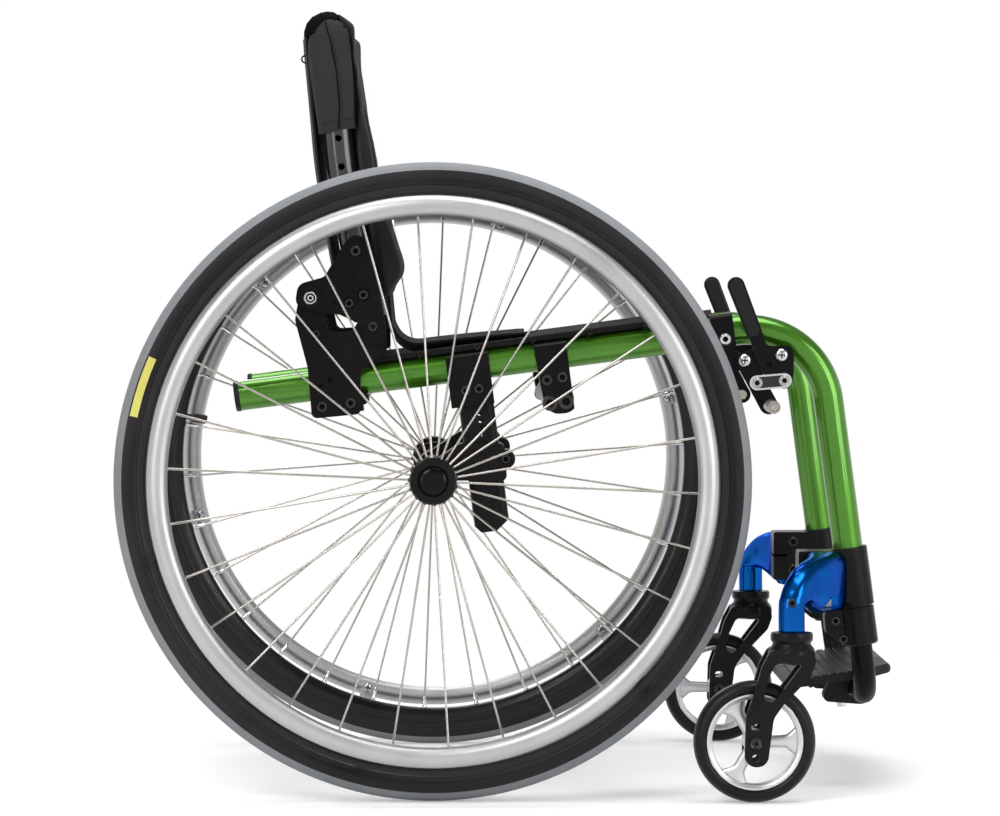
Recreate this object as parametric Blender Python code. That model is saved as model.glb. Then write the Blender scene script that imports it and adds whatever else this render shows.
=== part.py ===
"""A child's rigid-frame wheelchair with a fold-down back, built piece by piece.

Units are metres. +X is forward, +Y is the sitter's left, +Z is up.
Shapes are drawn from the rear hub: x is measured forward of it and z up from the floor.
The empty named chair then carries everything, so that the overall box is centred on the origin.
Pieces that come in pairs are drawn for the left side and mirrored.
"""
import bpy
import bmesh
from math import acos, asin, atan2, cos, pi, radians, sin, tan
from mathutils import Matrix, Vector
from mathutils.geometry import tessellate_polygon

# Clearance between pieces that touch
GAP = 0.0003

# Rear wheels
TYRE_DIAMETER = 0.597
LAYOUT_TYRE_DIAMETER = 0.597
TYRE_WIDTH = 0.025
TYRE_HEIGHT = 0.022
RIM_DEPTH = 0.0153
RIM_WIDTH = 0.019
HANDRIM_INSET = 0.0215
HANDRIM_TUBE = 0.0195
HANDRIM_OFFSET = 0.045
WHEEL_SIDES = 36
CAMBER = radians(2.5)
HUB_FROM_RAIL = 0.0775
HUB_RADIUS = 0.0216
HUB_BARREL_RADIUS = 0.0135
HUB_INNER_END = 0.033
HUB_CAP_END = 0.0375
HUB_CAP_FLOOR = 0.0300
HUB_SIDES = 16
FLANGE_OFFSET = 0.023
SPOKE_COUNT = 30
SPOKE_DIAMETER = 0.0021
SPOKE_PHASE = {-1: radians(9.3), 1: radians(8.2)}
TAB_COUNT = 6
TAB_WIDTH = 0.012
TAB_PHASE = {-1: radians(16.0), 1: radians(46.0)}
AXLE_DIAMETER = 0.0127
AXLE_INNER_END = 0.0785
AXLE_HEAD_RADIUS = 0.0085
AXLE_HEAD_END = 0.0330
BUTTON_RADIUS = 0.0128
BUTTON_STEM_RADIUS = 0.0034
BUTTON_TRAVEL = 0.0035

# Frame
RAIL_SPACING = 0.290
FRAME_TUBE = 0.0286
FRAME_WALL = 0.0018
RAIL_SLOPE = radians(7.5)
RAIL_REAR_X = -0.184
RAIL_HEIGHT_AT_HUB = 0.4000
DOWN_TUBE_LEAN = radians(7.6)
DOWN_TUBE_X = 0.3935
DOWN_TUBE_X_HEIGHT = 0.2495
DOWN_TUBE_END = 0.152
BEND_RADIUS = 0.078
TUBE_SIDES = 12
END_CAP_THICKNESS = 0.005
END_CAP_PLUG = 0.016

# Axle support
STEM_CLAMP_X = 0.0330
STEM_CLAMP_LENGTH = 0.041
STEM_CLAMP_DROP = 0.038
STEM_CLAMP_BOLTS = ((0.0309, 0.3812), (0.0434, 0.3828))
STEM_X = 0.0411
STEM_X_HEIGHT = 0.3664
STEM_LENGTHWISE = 0.0335
STEM_ACROSS = 0.021
STEM_WALL = 0.0025
STEM_END = 0.247
STEM_SLANT = 0.026
STEM_HOLE_DIAMETER = 0.0050
STEM_HOLE_PITCH = 0.0125
STEM_HOLE_ABOVE = 0.0115
STEM_HOLE_BELOW = 0.0140
STEM_HOLES_ABOVE = 2
STEM_HOLES_BELOW = 2
BLOCK_TOP = 0.331
BLOCK_BOTTOM = 0.2955
BLOCK_HALF_WIDTH = 0.0165
BLOCK_LOBE = (0.0690, 0.3160)
BLOCK_LOBE_RADIUS = 0.0090
RECEIVER_RADIUS = 0.0160
RECEIVER_INSET = 0.0170
RECEIVER_TO_HUB = 0.0030
CAMBER_TUBE = 0.0254
CAMBER_TUBE_WALL = 0.0020

# Rail brackets
CLAMP_HALF_WIDTH = 0.0184
CLAMP_RISE = 0.0118
SEAT_BRACKET_X = 0.1120
SEAT_BRACKET_LENGTH = 0.031
SEAT_BRACKET_DROP = 0.058
SEAT_BRACKET_BOLTS = ((0.1079, 0.3911), (0.1226, 0.3938))
CROSS_BAR_X = 0.1185
CROSS_BAR_DROP = 0.0440
CROSS_BAR_TUBE = 0.0222
CROSS_BAR_WALL = 0.0018
CROSS_BAR_FLANGE = 0.004

# Casters
CASTER_DIAMETER = 0.114
CASTER_WIDTH = 0.024
CASTER_RIM_DIAMETER = 0.0896
CASTER_RIM_BORE = 0.0796
CASTER_RIM_WIDTH = 0.018
CASTER_HUB_RADIUS = 0.0110
CASTER_HUB_WIDTH = 0.0285
CASTER_SPOKES = 3
CASTER_SIDES = 24
CASTER_FROM_RAIL = 0.105
CASTER_COLUMN_X = 0.3335
CASTER_TRAIL = 0.0345
CASTER_AXLE_DIAMETER = 0.0080
CASTER_AXLE_HEAD_RADIUS = 0.0062
COLUMN_RADIUS = 0.0122
COLUMN_BOTTOM = 0.1590
FORK_STEM_RADIUS = 0.0060
FORK_STEM_TOP = 0.1950
FORK_CROWN_RADIUS = 0.0192
FORK_LEG_INNER = 0.0148
FORK_LEG_THICKNESS = 0.0052
SLEEVE_RADIUS = 0.0182
SLEEVE_TOP = 0.2310
SLEEVE_BOTTOM = 0.1752

# Footrest
FOOTREST_TUBE = 0.0220
FOOTREST_WALL = 0.0016
FOOTREST_INSERT_TOP = 0.262
FOOTREST_CROSS_HEIGHT = 0.0890
FOOTREST_BEND = 0.034
COLLAR_RADIUS = 0.0174
COLLAR_TOP = 0.1740
COLLAR_BOTTOM = 0.1380
COLLAR_BOLTS = ((0.3836, 0.1612), (0.3912, 0.1436))
FOOTPLATE_DEPTH = 0.1040
FOOTPLATE_WIDTH = 0.2400
FOOTPLATE_THICKNESS = 0.0090
FOOTPLATE_TILT = radians(8.4)
FOOTPLATE_AHEAD = 0.0310
FOOTPLATE_CLAMP_SPAN = 0.130
FOOTPLATE_CLAMP_WIDTH = 0.020
FOOTPLATE_CLAMP_WALL = 0.0050

# Wheel locks, with their pivots as (x, z)
LOCK_CLAMP_X = 0.2750
LOCK_CLAMP_LENGTH = 0.0215
LOCK_CLAMP_RADIUS = 0.0205
LOCK_BASE_PLATE = 0.0030
LOCK_SHOE_PIVOT = (0.2950, 0.4100)
LOCK_HANDLE_PIVOT = (0.3300, 0.4150)
LOCK_LINK_REAR = (0.3066, 0.3887)
LOCK_LINK_FRONT = (0.3325, 0.3909)
LOCK_SHOE = (0.3180, 0.3675)
LOCK_SHOE_RADIUS = 0.0065
LOCK_TIP = (0.2854, 0.4803)
LOCK_TIP_RADIUS = 0.0080
LOCK_GRIP_LENGTH = 0.040
LOCK_PLATE = 0.0040
LOCK_LINK_PLATE = 0.0025
LOCK_PIN_RADIUS = 0.0028
LOCK_HEAD_RADIUS = 0.0056
LOCK_OPEN_PIVOT_CLEARANCE = 0.0010

# Back
BACK_PIVOT = (-0.0570, 0.4420)
BACK_PIN_RADIUS = 0.0040
BACK_LEAN = radians(10.1)
CANE_X = -0.0876
CANE_X_HEIGHT = 0.5936
CANE_BOTTOM = 0.4480
CANE_TOP = 0.7300
CANE_HOLE_DIAMETER = 0.0065
CANE_BOLTS = (0.4720, 0.5135)
BACK_PLATE = 0.0046
BACK_BOSS_RADIUS = 0.0080
BACK_CLAMP_X = -0.0915
BACK_CLAMP_LENGTH = 0.0440
BACK_CLAMP_DROP = 0.0400
BACK_CLAMP_BOLTS = ((-0.1052, 0.3660), (-0.0782, 0.3695))
RELEASE_BAR = (-0.1160, 0.4690)
RELEASE_BAR_RADIUS = 0.0060
RELEASE_BAR_BORE = 0.0036
RELEASE_TRAVEL = 0.0050
UPHOLSTERY_TOP = 0.7420
POCKET_BOTTOM = 0.6290
UPHOLSTERY_BOTTOM = 0.4640
UPHOLSTERY_OVERHANG = 0.0180
POCKET_DEPTH = 0.0178
BACK_CONTOUR = 0.018

# Seat
SLING_REAR_X = -0.0600
SLING_FRONT_X = 0.2600
SLING_OVERHANG = 0.0110
SLING_THICKNESS = 0.0060
SLING_SAG = 0.010
SLING_HEM_DEPTH = 0.018
FLAP_THICKNESS = 0.0050
FLAP_INSET = 0.0200
FLAP_REAR_X = -0.0395
FLAP_FRONT_X = 0.0950

# Sizes worked out from the ones above
TYRE_RADIUS = TYRE_DIAMETER / 2
RIM_DIAMETER = TYRE_DIAMETER - 2 * TYRE_HEIGHT
HANDRIM_DIAMETER = RIM_DIAMETER - 2 * HANDRIM_INSET
HUB_HEIGHT = TYRE_RADIUS * cos(CAMBER)
RAIL_Y = RAIL_SPACING / 2
HUB_TRACK = RAIL_SPACING + 2 * HUB_FROM_RAIL
RECEIVER_INNER = RAIL_Y - RECEIVER_INSET
RECEIVER_OUTER = HUB_TRACK / 2 - HUB_INNER_END - RECEIVER_TO_HUB
CASTER_TRACK = RAIL_SPACING + 2 * CASTER_FROM_RAIL
UPHOLSTERY_HALF_WIDTH = RAIL_Y + UPHOLSTERY_OVERHANG
SLING_HALF_WIDTH = RAIL_Y + SLING_OVERHANG
FLAP_HALF_WIDTH = RAIL_Y - FLAP_INSET
TUBE_RADIUS = FRAME_TUBE / 2
TUBE_BORE = TUBE_RADIUS - FRAME_WALL
SEAT_RADIUS = TUBE_RADIUS + GAP
CASTER_Y = CASTER_TRACK / 2
CASTER_RADIUS = CASTER_DIAMETER / 2
AXLE_BORE = AXLE_DIAMETER / 2 + GAP
FOOTREST_RADIUS = FOOTREST_TUBE / 2
FOOTPLATE_RISE = FOOTREST_RADIUS + GAP + 0.0022
RAIL_ALONG = Vector((cos(RAIL_SLOPE), 0, sin(RAIL_SLOPE)))
RAIL_UP = Vector((-sin(RAIL_SLOPE), 0, cos(RAIL_SLOPE)))
DOWN_ALONG = Vector((-sin(DOWN_TUBE_LEAN), 0, cos(DOWN_TUBE_LEAN)))
DOWN_FORWARD = Vector((cos(DOWN_TUBE_LEAN), 0, sin(DOWN_TUBE_LEAN)))
ACROSS = Vector((0, 1, 0))

# The layout's x and z values suit a tyre of LAYOUT_TYRE_DIAMETER, and another tyre moves
# the front pieces ahead, the rails' pieces up, and the wheel locks both ways
AHEAD = (TYRE_DIAMETER - LAYOUT_TYRE_DIAMETER) / 2
LIFT = AHEAD * cos(CAMBER)
STEADY_PIECES = ("rear_", "handrim", "hub_", "axle_left", "axle_right", "axle_button", "side_frame")
FRONT_PIECES = ("caster", "footrest", "footplate")
LOCK_PIECES = ("lock_",)

SIDES = {-1: "right", 1: "left"}
SMOOTH_ANGLE = radians(35)

# Finishes: colour, roughness, metallic
FINISHES = {
    "green paint": ((0.045, 0.250, 0.012), 0.30, 0.6),
    "blue anodised": ((0.004, 0.060, 0.480), 0.28, 0.7),
    "black satin": ((0.012, 0.012, 0.013), 0.45, 0.0),
    "black gloss": ((0.008, 0.008, 0.009), 0.15, 0.0),
    "black grip": ((0.014, 0.013, 0.013), 0.40, 0.0),
    "grey tyre": ((0.190, 0.205, 0.225), 0.75, 0.0),
    "black tyre": ((0.016, 0.015, 0.017), 0.60, 0.0),
    "silver": ((0.600, 0.600, 0.600), 0.35, 1.0),
    "steel": ((0.550, 0.530, 0.500), 0.25, 1.0),
    "zinc": ((0.600, 0.620, 0.650), 0.22, 1.0),
    "fabric": ((0.014, 0.013, 0.014), 0.90, 0.0),
}


def clear_scene():
    """Removes whatever the open file holds."""
    for item in list(bpy.data.objects):
        bpy.data.objects.remove(item, do_unlink=True)


def rail_point(x, rise=0.0, y=0.0):
    """A point at x on the seat rail's centre line, moved square to the rail by rise."""
    return Vector((x, y, RAIL_HEIGHT_AT_HUB + x * tan(RAIL_SLOPE))) + RAIL_UP * rise


def leaning_point(x, height, lean, z):
    """The point at height z on a line that passes (x, height) and leans by an angle."""
    return Vector((x + (height - z) * tan(lean), 0, z))


def down_tube_point(z):
    """A point of the down tube's centre line."""
    return leaning_point(DOWN_TUBE_X, DOWN_TUBE_X_HEIGHT, DOWN_TUBE_LEAN, z)


def stem_point(z):
    """A point of the axle stem's centre line."""
    return leaning_point(STEM_X, STEM_X_HEIGHT, RAIL_SLOPE, z)


def cane_point(z):
    """A point of the back cane's centre line."""
    return leaning_point(CANE_X, CANE_X_HEIGHT, BACK_LEAN, z)


def moved(point, y):
    """The same point at another y."""
    return Vector((point[0], y, point[-1]))


def flat(point):
    """A point's (x, z)."""
    return (point[0], point[-1])


def arc(centre, radius, start, end, steps):
    """Points of a circular arc in a plane."""
    cx, cy = centre
    angles = [start + (end - start) * i / steps for i in range(steps + 1)]
    return [(cx + radius * cos(a), cy + radius * sin(a)) for a in angles]


def circle(centre, radius, sides):
    """A polygon whose corners lie at the stated radius, for what goes into a hole."""
    return arc(centre, radius, pi / sides, 2 * pi - pi / sides, sides - 1)


def hole(centre, radius, sides=8):
    """A polygon whose flats lie at the stated radius, for holes and for whole wheels."""
    return circle(centre, radius / cos(pi / sides), sides)


def rounded(corners, steps=2):
    """An outline whose corners (x, y, radius) are rounded; small ones become chamfers."""
    outline = []
    count = len(corners)
    for i, (x, y, radius) in enumerate(corners):
        here = Vector((x, y))
        if radius <= 0:
            outline.append((x, y))
            continue
        back = (Vector(corners[i - 1][:2]) - here).normalized()
        ahead = (Vector(corners[(i + 1) % count][:2]) - here).normalized()
        half = acos(max(-1, min(1, back.dot(ahead)))) / 2
        centre = here + (back + ahead).normalized() * (radius / sin(half))
        first = here + back * (radius / tan(half)) - centre
        last = here + ahead * (radius / tan(half)) - centre
        start = atan2(first.y, first.x)
        turn = (atan2(last.y, last.x) - start + pi) % (2 * pi) - pi
        outline += arc(centre, radius, start, start + turn, steps if radius > 0.005 else 1)
    return outline


def belt(circles, sides=10):
    """The outline that wraps a set of circles (x, y, radius), like a belt."""
    points = sorted({p for x, y, r in circles for p in circle((x, y), r, sides)})

    def turn(a, b, c):
        return (b[0] - a[0]) * (c[1] - a[1]) - (b[1] - a[1]) * (c[0] - a[0])

    def half(ordered):
        chain = []
        for p in ordered:
            while len(chain) > 1 and turn(chain[-2], chain[-1], p) <= 1e-9:
                chain.pop()
            chain.append(p)
        return chain[:-1]

    return half(points) + half(points[::-1])


def loft(rings, closed=False):
    """A solid whose surface runs through rings of equal count; open ends get caps."""
    solid = bmesh.new()
    loops = [[solid.verts.new(p) for p in points] for points in rings]
    count = len(loops[0])
    spans = list(zip(loops, loops[1:]))
    if closed:
        spans.append((loops[-1], loops[0]))
    for low, high in spans:
        for i in range(count):
            j = (i + 1) % count
            solid.faces.new((low[i], low[j], high[j], high[i]))
    if not closed:
        solid.faces.new(loops[0])
        solid.faces.new(loops[-1])
    bmesh.ops.recalc_face_normals(solid, faces=solid.faces)
    return solid


def turned(profile, place=None, sides=16, closed=False):
    """A solid of revolution about Z; its profile holds (radius, height) pairs.

    The flats between the corners lie at the stated radius.
    """
    rings = [
        [Vector((x, y, height)) for x, y in hole((0, 0), radius, sides)]
        for radius, height in profile
    ]
    solid = loft(rings, closed)
    if place:
        solid.transform(place)
    return solid


def swept(path, radius, sides=TUBE_SIDES, bore=0.0):
    """A round bar along a path that lies in a plane, or a tube with open ends if it has a bore."""
    points = [Vector(p) for p in path]
    last = len(points) - 1
    normal = (points[last] - points[0]).cross(points[last // 2] - points[0])
    if normal.length < 1e-9:
        normal = (points[last] - points[0]).orthogonal()
    normal.normalize()

    def rings_of(size):
        rings = []
        for i, point in enumerate(points):
            tangent = (points[min(i + 1, last)] - points[max(i - 1, 0)]).normalized()
            side = normal.cross(tangent)
            stretch = 1 / tangent.dot((points[i] - points[i - 1]).normalized()) if 0 < i < last else 1
            rings.append([point + normal * a + side * b * stretch
                          for a, b in circle((0, 0), size, sides)])
        return rings

    if not bore:
        return loft(rings_of(radius))
    return loft(rings_of(radius) + rings_of(bore)[::-1], closed=True)


def prism(outline, low, high, spot, holes=()):
    """A flat outline pushed from low to high; spot turns (u, v, w) into a point."""
    loops = [list(outline)] + [list(hole) for hole in holes]
    triangles = tessellate_polygon([[Vector((u, v, 0)) for u, v in loop] for loop in loops])
    points = [point for loop in loops for point in loop]
    solid = bmesh.new()
    bottom = [solid.verts.new(spot(u, v, low)) for u, v in points]
    top = [solid.verts.new(spot(u, v, high)) for u, v in points]
    for corners in triangles:
        solid.faces.new([bottom[i] for i in corners])
        solid.faces.new([top[i] for i in reversed(corners)])
    start = 0
    for loop in loops:
        count = len(loop)
        for i in range(count):
            a = start + i
            b = start + (i + 1) % count
            solid.faces.new((bottom[a], bottom[b], top[b], top[a]))
        start += count
    bmesh.ops.recalc_face_normals(solid, faces=solid.faces)
    return solid


def side_plate(outline, inner, outer, holes=()):
    """A plate that is seen from the side: its outline holds (x, z), its faces lie at y."""
    return prism(outline, inner, outer, lambda x, z, y: Vector((x, y, z)), holes)


def cross_pin(centre, radius, inner, outer, sides=8):
    """A round pin across the chair, from one distance off the middle to another."""
    return side_plate(circle(centre, radius, sides), inner, outer)


def temporary(solid):
    """A short-lived object for one Boolean step."""
    mesh = bpy.data.meshes.new("step")
    solid.to_mesh(mesh)
    solid.free()
    item = bpy.data.objects.new("step", mesh)
    bpy.context.collection.objects.link(item)
    return item


def combined(base, tool, operation):
    """The union, difference or intersection of two closed solids."""
    pair = (temporary(base), temporary(tool))
    step = pair[0].modifiers.new("combine", "BOOLEAN")
    step.operation = operation
    step.solver = "EXACT"
    step.object = pair[1]
    result = bmesh.new()
    result.from_object(pair[0], bpy.context.evaluated_depsgraph_get())
    for item in pair:
        mesh = item.data
        bpy.data.objects.remove(item)
        bpy.data.meshes.remove(mesh)
    return result


def fused(base, *tools):
    """One solid made of several that overlap."""
    for tool in tools:
        base = combined(base, tool, "UNION")
    return base


def cut(base, *tools):
    """A solid with others taken out of it."""
    for tool in tools:
        base = combined(base, tool, "DIFFERENCE")
    return base


def joined(solids):
    """Several separate solids as one mesh, for use as a single tool."""
    result = bmesh.new()
    for solid in solids:
        mesh = bpy.data.meshes.new("step")
        solid.to_mesh(mesh)
        solid.free()
        result.from_mesh(mesh)
        bpy.data.meshes.remove(mesh)
    return result


def new_material(name, finish):
    """A piece's own material."""
    colour, roughness, metallic = FINISHES[finish]
    material = bpy.data.materials.new(name)
    material.use_nodes = True
    shader = material.node_tree.nodes["Principled BSDF"]
    shader.inputs["Base Color"].default_value = (*colour, 1)
    shader.inputs["Roughness"].default_value = roughness
    shader.inputs["Metallic"].default_value = metallic
    return material


def add_node(name, solid, finish, place=None, parent=None):
    """Adds a named piece; a piece with a place is drawn in that place's own frame."""
    bmesh.ops.remove_doubles(solid, verts=solid.verts, dist=1e-6)
    bmesh.ops.recalc_face_normals(solid, faces=solid.faces)
    mesh = bpy.data.meshes.new(name)
    solid.to_mesh(mesh)
    solid.free()
    mesh.materials.append(new_material(name, finish))
    mesh.shade_smooth()
    mesh.set_sharp_from_angle(angle=SMOOTH_ANGLE)
    node = bpy.data.objects.new(name, mesh)
    bpy.context.collection.objects.link(node)
    node.parent = parent or group_of(name)
    node.matrix_basis = place or Matrix()
    return node


def group_of(name):
    """The empty that carries a piece."""
    if name.startswith(STEADY_PIECES):
        return CHAIR
    if name.startswith(FRONT_PIECES):
        return FRONT_GROUP
    return LOCK_GROUP if name.startswith(LOCK_PIECES) else RAIL_GROUP


def add_pair(name, solid, finish, origin=(0, 0, 0), parents=None):
    """Adds a left piece and its mirror image; the origin is a point of the left one."""
    mesh = bpy.data.meshes.new("step")
    solid.to_mesh(mesh)
    solid.free()
    for side, word in SIDES.items():
        copy = bmesh.new()
        copy.from_mesh(mesh)
        bmesh.ops.translate(copy, verts=copy.verts, vec=-Vector(origin))
        bmesh.ops.scale(copy, verts=copy.verts, vec=(1, side, 1))
        if side < 0:
            bmesh.ops.reverse_faces(copy, faces=copy.faces)
        place = Matrix.Translation((origin[0], side * origin[1], origin[2]))
        parent = parents[side] if parents else None
        if parent:
            place = parent.matrix_basis.inverted() @ place
        add_node(f"{name}_{word}", copy, finish, place, parent)
    bpy.data.meshes.remove(mesh)


def add_empty(name, place, parent=None):
    """An empty that stands on a joint's axis."""
    empty = bpy.data.objects.new(name, None)
    bpy.context.collection.objects.link(empty)
    empty.parent = parent
    empty.matrix_basis = place
    return empty


def frame_of(across, up, out, origin):
    """A placing matrix from three axes and an origin."""
    columns = (Vector(across), Vector(up), Vector(out), Vector(origin))
    rows = [[column[i] for column in columns] for i in range(3)]
    return Matrix(rows + [[0, 0, 0, 1]])


def wheel_place(side):
    """The cambered wheel's frame: Z out along the axle, Y up the wheel."""
    out = Vector((0, side * cos(CAMBER), sin(CAMBER)))
    up = Vector((0, -side * sin(CAMBER), cos(CAMBER)))
    return frame_of(up.cross(out), up, out, (0, side * HUB_TRACK / 2, HUB_HEIGHT))


def across_place(side, x, z):
    """A frame at (x, z) whose Z points out to one side and whose Y points up."""
    out = Vector((0, side, 0))
    up = Vector((0, 0, 1))
    return frame_of(up.cross(out), up, out, (x, 0, z))


def mirrored_profile(wall, middle=()):
    """A section that is the same on both sides of its wheel's middle plane."""
    return list(middle) + list(wall) + [(r, -w) for r, w in reversed(wall)]


def tyre_solid():
    """A tyre with a rounded tread and a flat seat on the rim."""
    outer = TYRE_RADIUS
    seat = RIM_DIAMETER / 2 + GAP
    half = TYRE_WIDTH / 2
    wall = [(outer - 0.0030, 0.62 * half), (outer - 0.0105, half), (seat, 0.80 * half)]
    profile = mirrored_profile(wall, [(outer, 0)])
    return turned(profile, sides=WHEEL_SIDES, closed=True)


def rim_solid():
    """A box-section rim, narrower at the spoke bed."""
    outer = RIM_DIAMETER / 2
    half = RIM_WIDTH / 2
    wall = [(outer, half), (outer - 0.0085, half), (outer - RIM_DEPTH, 0.5 * half)]
    return turned(mirrored_profile(wall), sides=WHEEL_SIDES, closed=True)


def handrim_solid(side):
    """The push ring with its tabs, which reach back to the rim's outer wall."""
    middle = HANDRIM_DIAMETER / 2
    size = HANDRIM_TUBE / 2
    profile = hole((middle, HANDRIM_OFFSET), size, 6)
    push_ring = turned(profile, sides=WHEEL_SIDES, closed=True)
    foot = RIM_DIAMETER / 2
    face = RIM_WIDTH / 2 + GAP
    outline = [
        (middle - 0.0015, HANDRIM_OFFSET - 0.0065),
        (middle + 0.0045, HANDRIM_OFFSET - 0.0065),
        (foot - 0.0015, face),
        (foot - 0.0078, face),
    ]
    tabs = []
    for k in range(TAB_COUNT):
        tab = prism(outline, -TAB_WIDTH / 2, TAB_WIDTH / 2, lambda r, w, t: Vector((r, t, w)))
        tab.transform(Matrix.Rotation(TAB_PHASE[side] + 2 * pi * k / TAB_COUNT, 4, "Z"))
        tabs.append(tab)
    return fused(push_ring, joined(tabs))


def hub_solid(side):
    """The hub shell with two flanges and a cap recess, and its radial spokes."""
    recess = BUTTON_RADIUS + 0.0010
    near = HUB_RADIUS - 0.001
    profile = [
        (AXLE_BORE, -HUB_INNER_END), (0.0125, -HUB_INNER_END),
        (near, -FLANGE_OFFSET - 0.0018), (near, -FLANGE_OFFSET + 0.0018),
        (HUB_BARREL_RADIUS, -FLANGE_OFFSET + 0.0035), (HUB_BARREL_RADIUS, FLANGE_OFFSET - 0.0035),
        (HUB_RADIUS, FLANGE_OFFSET - 0.0018), (HUB_RADIUS, HUB_CAP_END), (recess, HUB_CAP_END),
        (recess, HUB_CAP_FLOOR), (AXLE_BORE, HUB_CAP_FLOOR),
    ]
    shell = turned(profile, sides=HUB_SIDES, closed=True)
    end = RIM_DIAMETER / 2 - RIM_DEPTH - 2 * GAP
    spokes = []
    for k in range(SPOKE_COUNT):
        face = 1 if k % 2 else -1
        inner = Vector((HUB_RADIUS - 0.0040, 0, face * FLANGE_OFFSET))
        outer = Vector((end, 0, face * 0.0012))
        spoke = swept([inner, outer], SPOKE_DIAMETER / 2, sides=3)
        spoke.transform(Matrix.Rotation(SPOKE_PHASE[side] + 2 * pi * k / SPOKE_COUNT, 4, "Z"))
        spokes.append(spoke)
    return fused(shell, joined(spokes))


def axle_solid():
    """The quick-release axle: a shaft with a head, hollow at the button's end."""
    shaft = AXLE_DIAMETER / 2
    bore = BUTTON_STEM_RADIUS + GAP
    profile = [
        (shaft - 0.0015, -AXLE_INNER_END), (shaft, -AXLE_INNER_END + 0.0015),
        (shaft, HUB_CAP_FLOOR + GAP), (AXLE_HEAD_RADIUS, HUB_CAP_FLOOR + GAP),
        (AXLE_HEAD_RADIUS, AXLE_HEAD_END), (bore, AXLE_HEAD_END), (bore, 0.0080),
    ]
    return turned(profile)


def button_solid():
    """The domed release button and the stem that slides in the axle."""
    back = AXLE_HEAD_END + BUTTON_TRAVEL + GAP
    profile = [
        (BUTTON_STEM_RADIUS, 0.0130), (BUTTON_STEM_RADIUS, back), (BUTTON_RADIUS, back),
        (BUTTON_RADIUS, back + 0.0022), (0.75 * BUTTON_RADIUS, back + 0.0042),
    ]
    return turned(profile)


def add_rear_wheels():
    """Each rear wheel, its axle and the axle's release button."""
    for side, word in SIDES.items():
        place = wheel_place(side)
        add_node(f"rear_tyre_{word}", tyre_solid(), "grey tyre", place)
        add_node(f"rear_rim_{word}", rim_solid(), "black gloss", place)
        add_node(f"handrim_{word}", handrim_solid(side), "silver", place)
        add_node(f"hub_and_spokes_{word}", hub_solid(side), "steel", place)
        add_node(f"axle_{word}", axle_solid(), "steel", place)
        add_node(f"axle_button_{word}", button_solid(), "black gloss", place)


def frame_corner():
    """Where the centre lines of the lifted rail and the down tube ahead would meet."""
    rise = tan(RAIL_SLOPE)
    lean = tan(DOWN_TUBE_LEAN)
    x = DOWN_TUBE_X + AHEAD + (DOWN_TUBE_X_HEIGHT - RAIL_HEIGHT_AT_HUB - LIFT) * lean
    return rail_point(x / (1 + rise * lean)) + Vector((0, 0, LIFT))


def add_side_frames():
    """The bent frame tubes and the caps in their rear ends."""
    rear = rail_point(RAIL_REAR_X) + Vector((0, 0, LIFT))
    end = down_tube_point(DOWN_TUBE_END) + Vector((AHEAD, 0, 0))
    outline = rounded([
        (*flat(rear), 0), (*flat(frame_corner()), BEND_RADIUS), (*flat(end), 0),
    ], steps=6)
    path = [(x, RAIL_Y, z) for x, z in outline]
    add_pair("side_frame", swept(path, TUBE_RADIUS, bore=TUBE_BORE), "green paint")

    plug = TUBE_BORE - GAP
    wide = TUBE_RADIUS + 0.0004
    profile = [
        (plug - 0.0008, END_CAP_PLUG), (plug - 0.0008, -GAP), (wide, -GAP),
        (wide, -END_CAP_THICKNESS + 0.001), (wide - 0.001, -END_CAP_THICKNESS),
    ]
    start = rail_point(RAIL_REAR_X, y=RAIL_Y)
    place = frame_of(ACROSS, RAIL_ALONG.cross(ACROSS), RAIL_ALONG, start)
    add_pair("rail_end_cap", turned(profile, place, sides=12), "black satin")


def cradle(x, length, drop, slot_half, slot_top):
    """A rail clamp centred at x: it hugs the tube from below and ends in two jaws."""
    radius = SEAT_RADIUS / cos(pi / 10)
    start = asin(CLAMP_RISE / radius)
    seat = arc((0, 0), radius, pi - start, 2 * pi + start, 8)
    outline = [
        (CLAMP_HALF_WIDTH, CLAMP_RISE), (CLAMP_HALF_WIDTH, -drop), (slot_half, -drop),
        (slot_half, -slot_top), (-slot_half, -slot_top), (-slot_half, -drop),
        (-CLAMP_HALF_WIDTH, -drop), (-CLAMP_HALF_WIDTH, CLAMP_RISE),
    ] + seat
    centre = rail_point(x, y=RAIL_Y)

    def spot(u, v, w):
        return centre + ACROSS * u + RAIL_UP * v + RAIL_ALONG * w
    return prism(outline, -length / 2, length / 2, spot)


def bolt_heads(spots, face, proud, radius=0.0048):
    """Bolt heads that stand out from a face at given (x, z) places."""
    return joined([cross_pin(spot, radius, face - 0.001, face + proud) for spot in spots])


def stem_box(low, high, grow):
    """The axle stem's outer shape between two heights, made larger all round by grow."""
    half_x = STEM_LENGTHWISE / 2 + grow
    half_y = STEM_ACROSS / 2 + grow
    radius = 0.0060 + grow
    outline = rounded([(-half_x, -half_y, radius), (half_x, -half_y, radius),
                       (half_x, half_y, radius), (-half_x, half_y, radius)])
    base = moved(stem_point(STEM_X_HEIGHT), RAIL_Y)

    def spot(u, v, w):
        return base + RAIL_ALONG * u + ACROSS * v + RAIL_UP * w
    return prism(outline, (low - STEM_X_HEIGHT) / cos(RAIL_SLOPE),
                 (high - STEM_X_HEIGHT) / cos(RAIL_SLOPE), spot)


def axle_height(y):
    """The height in the layout of the cambered axle's centre line, at y."""
    return HUB_HEIGHT - LIFT - (HUB_TRACK / 2 - y) * tan(CAMBER)


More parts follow.
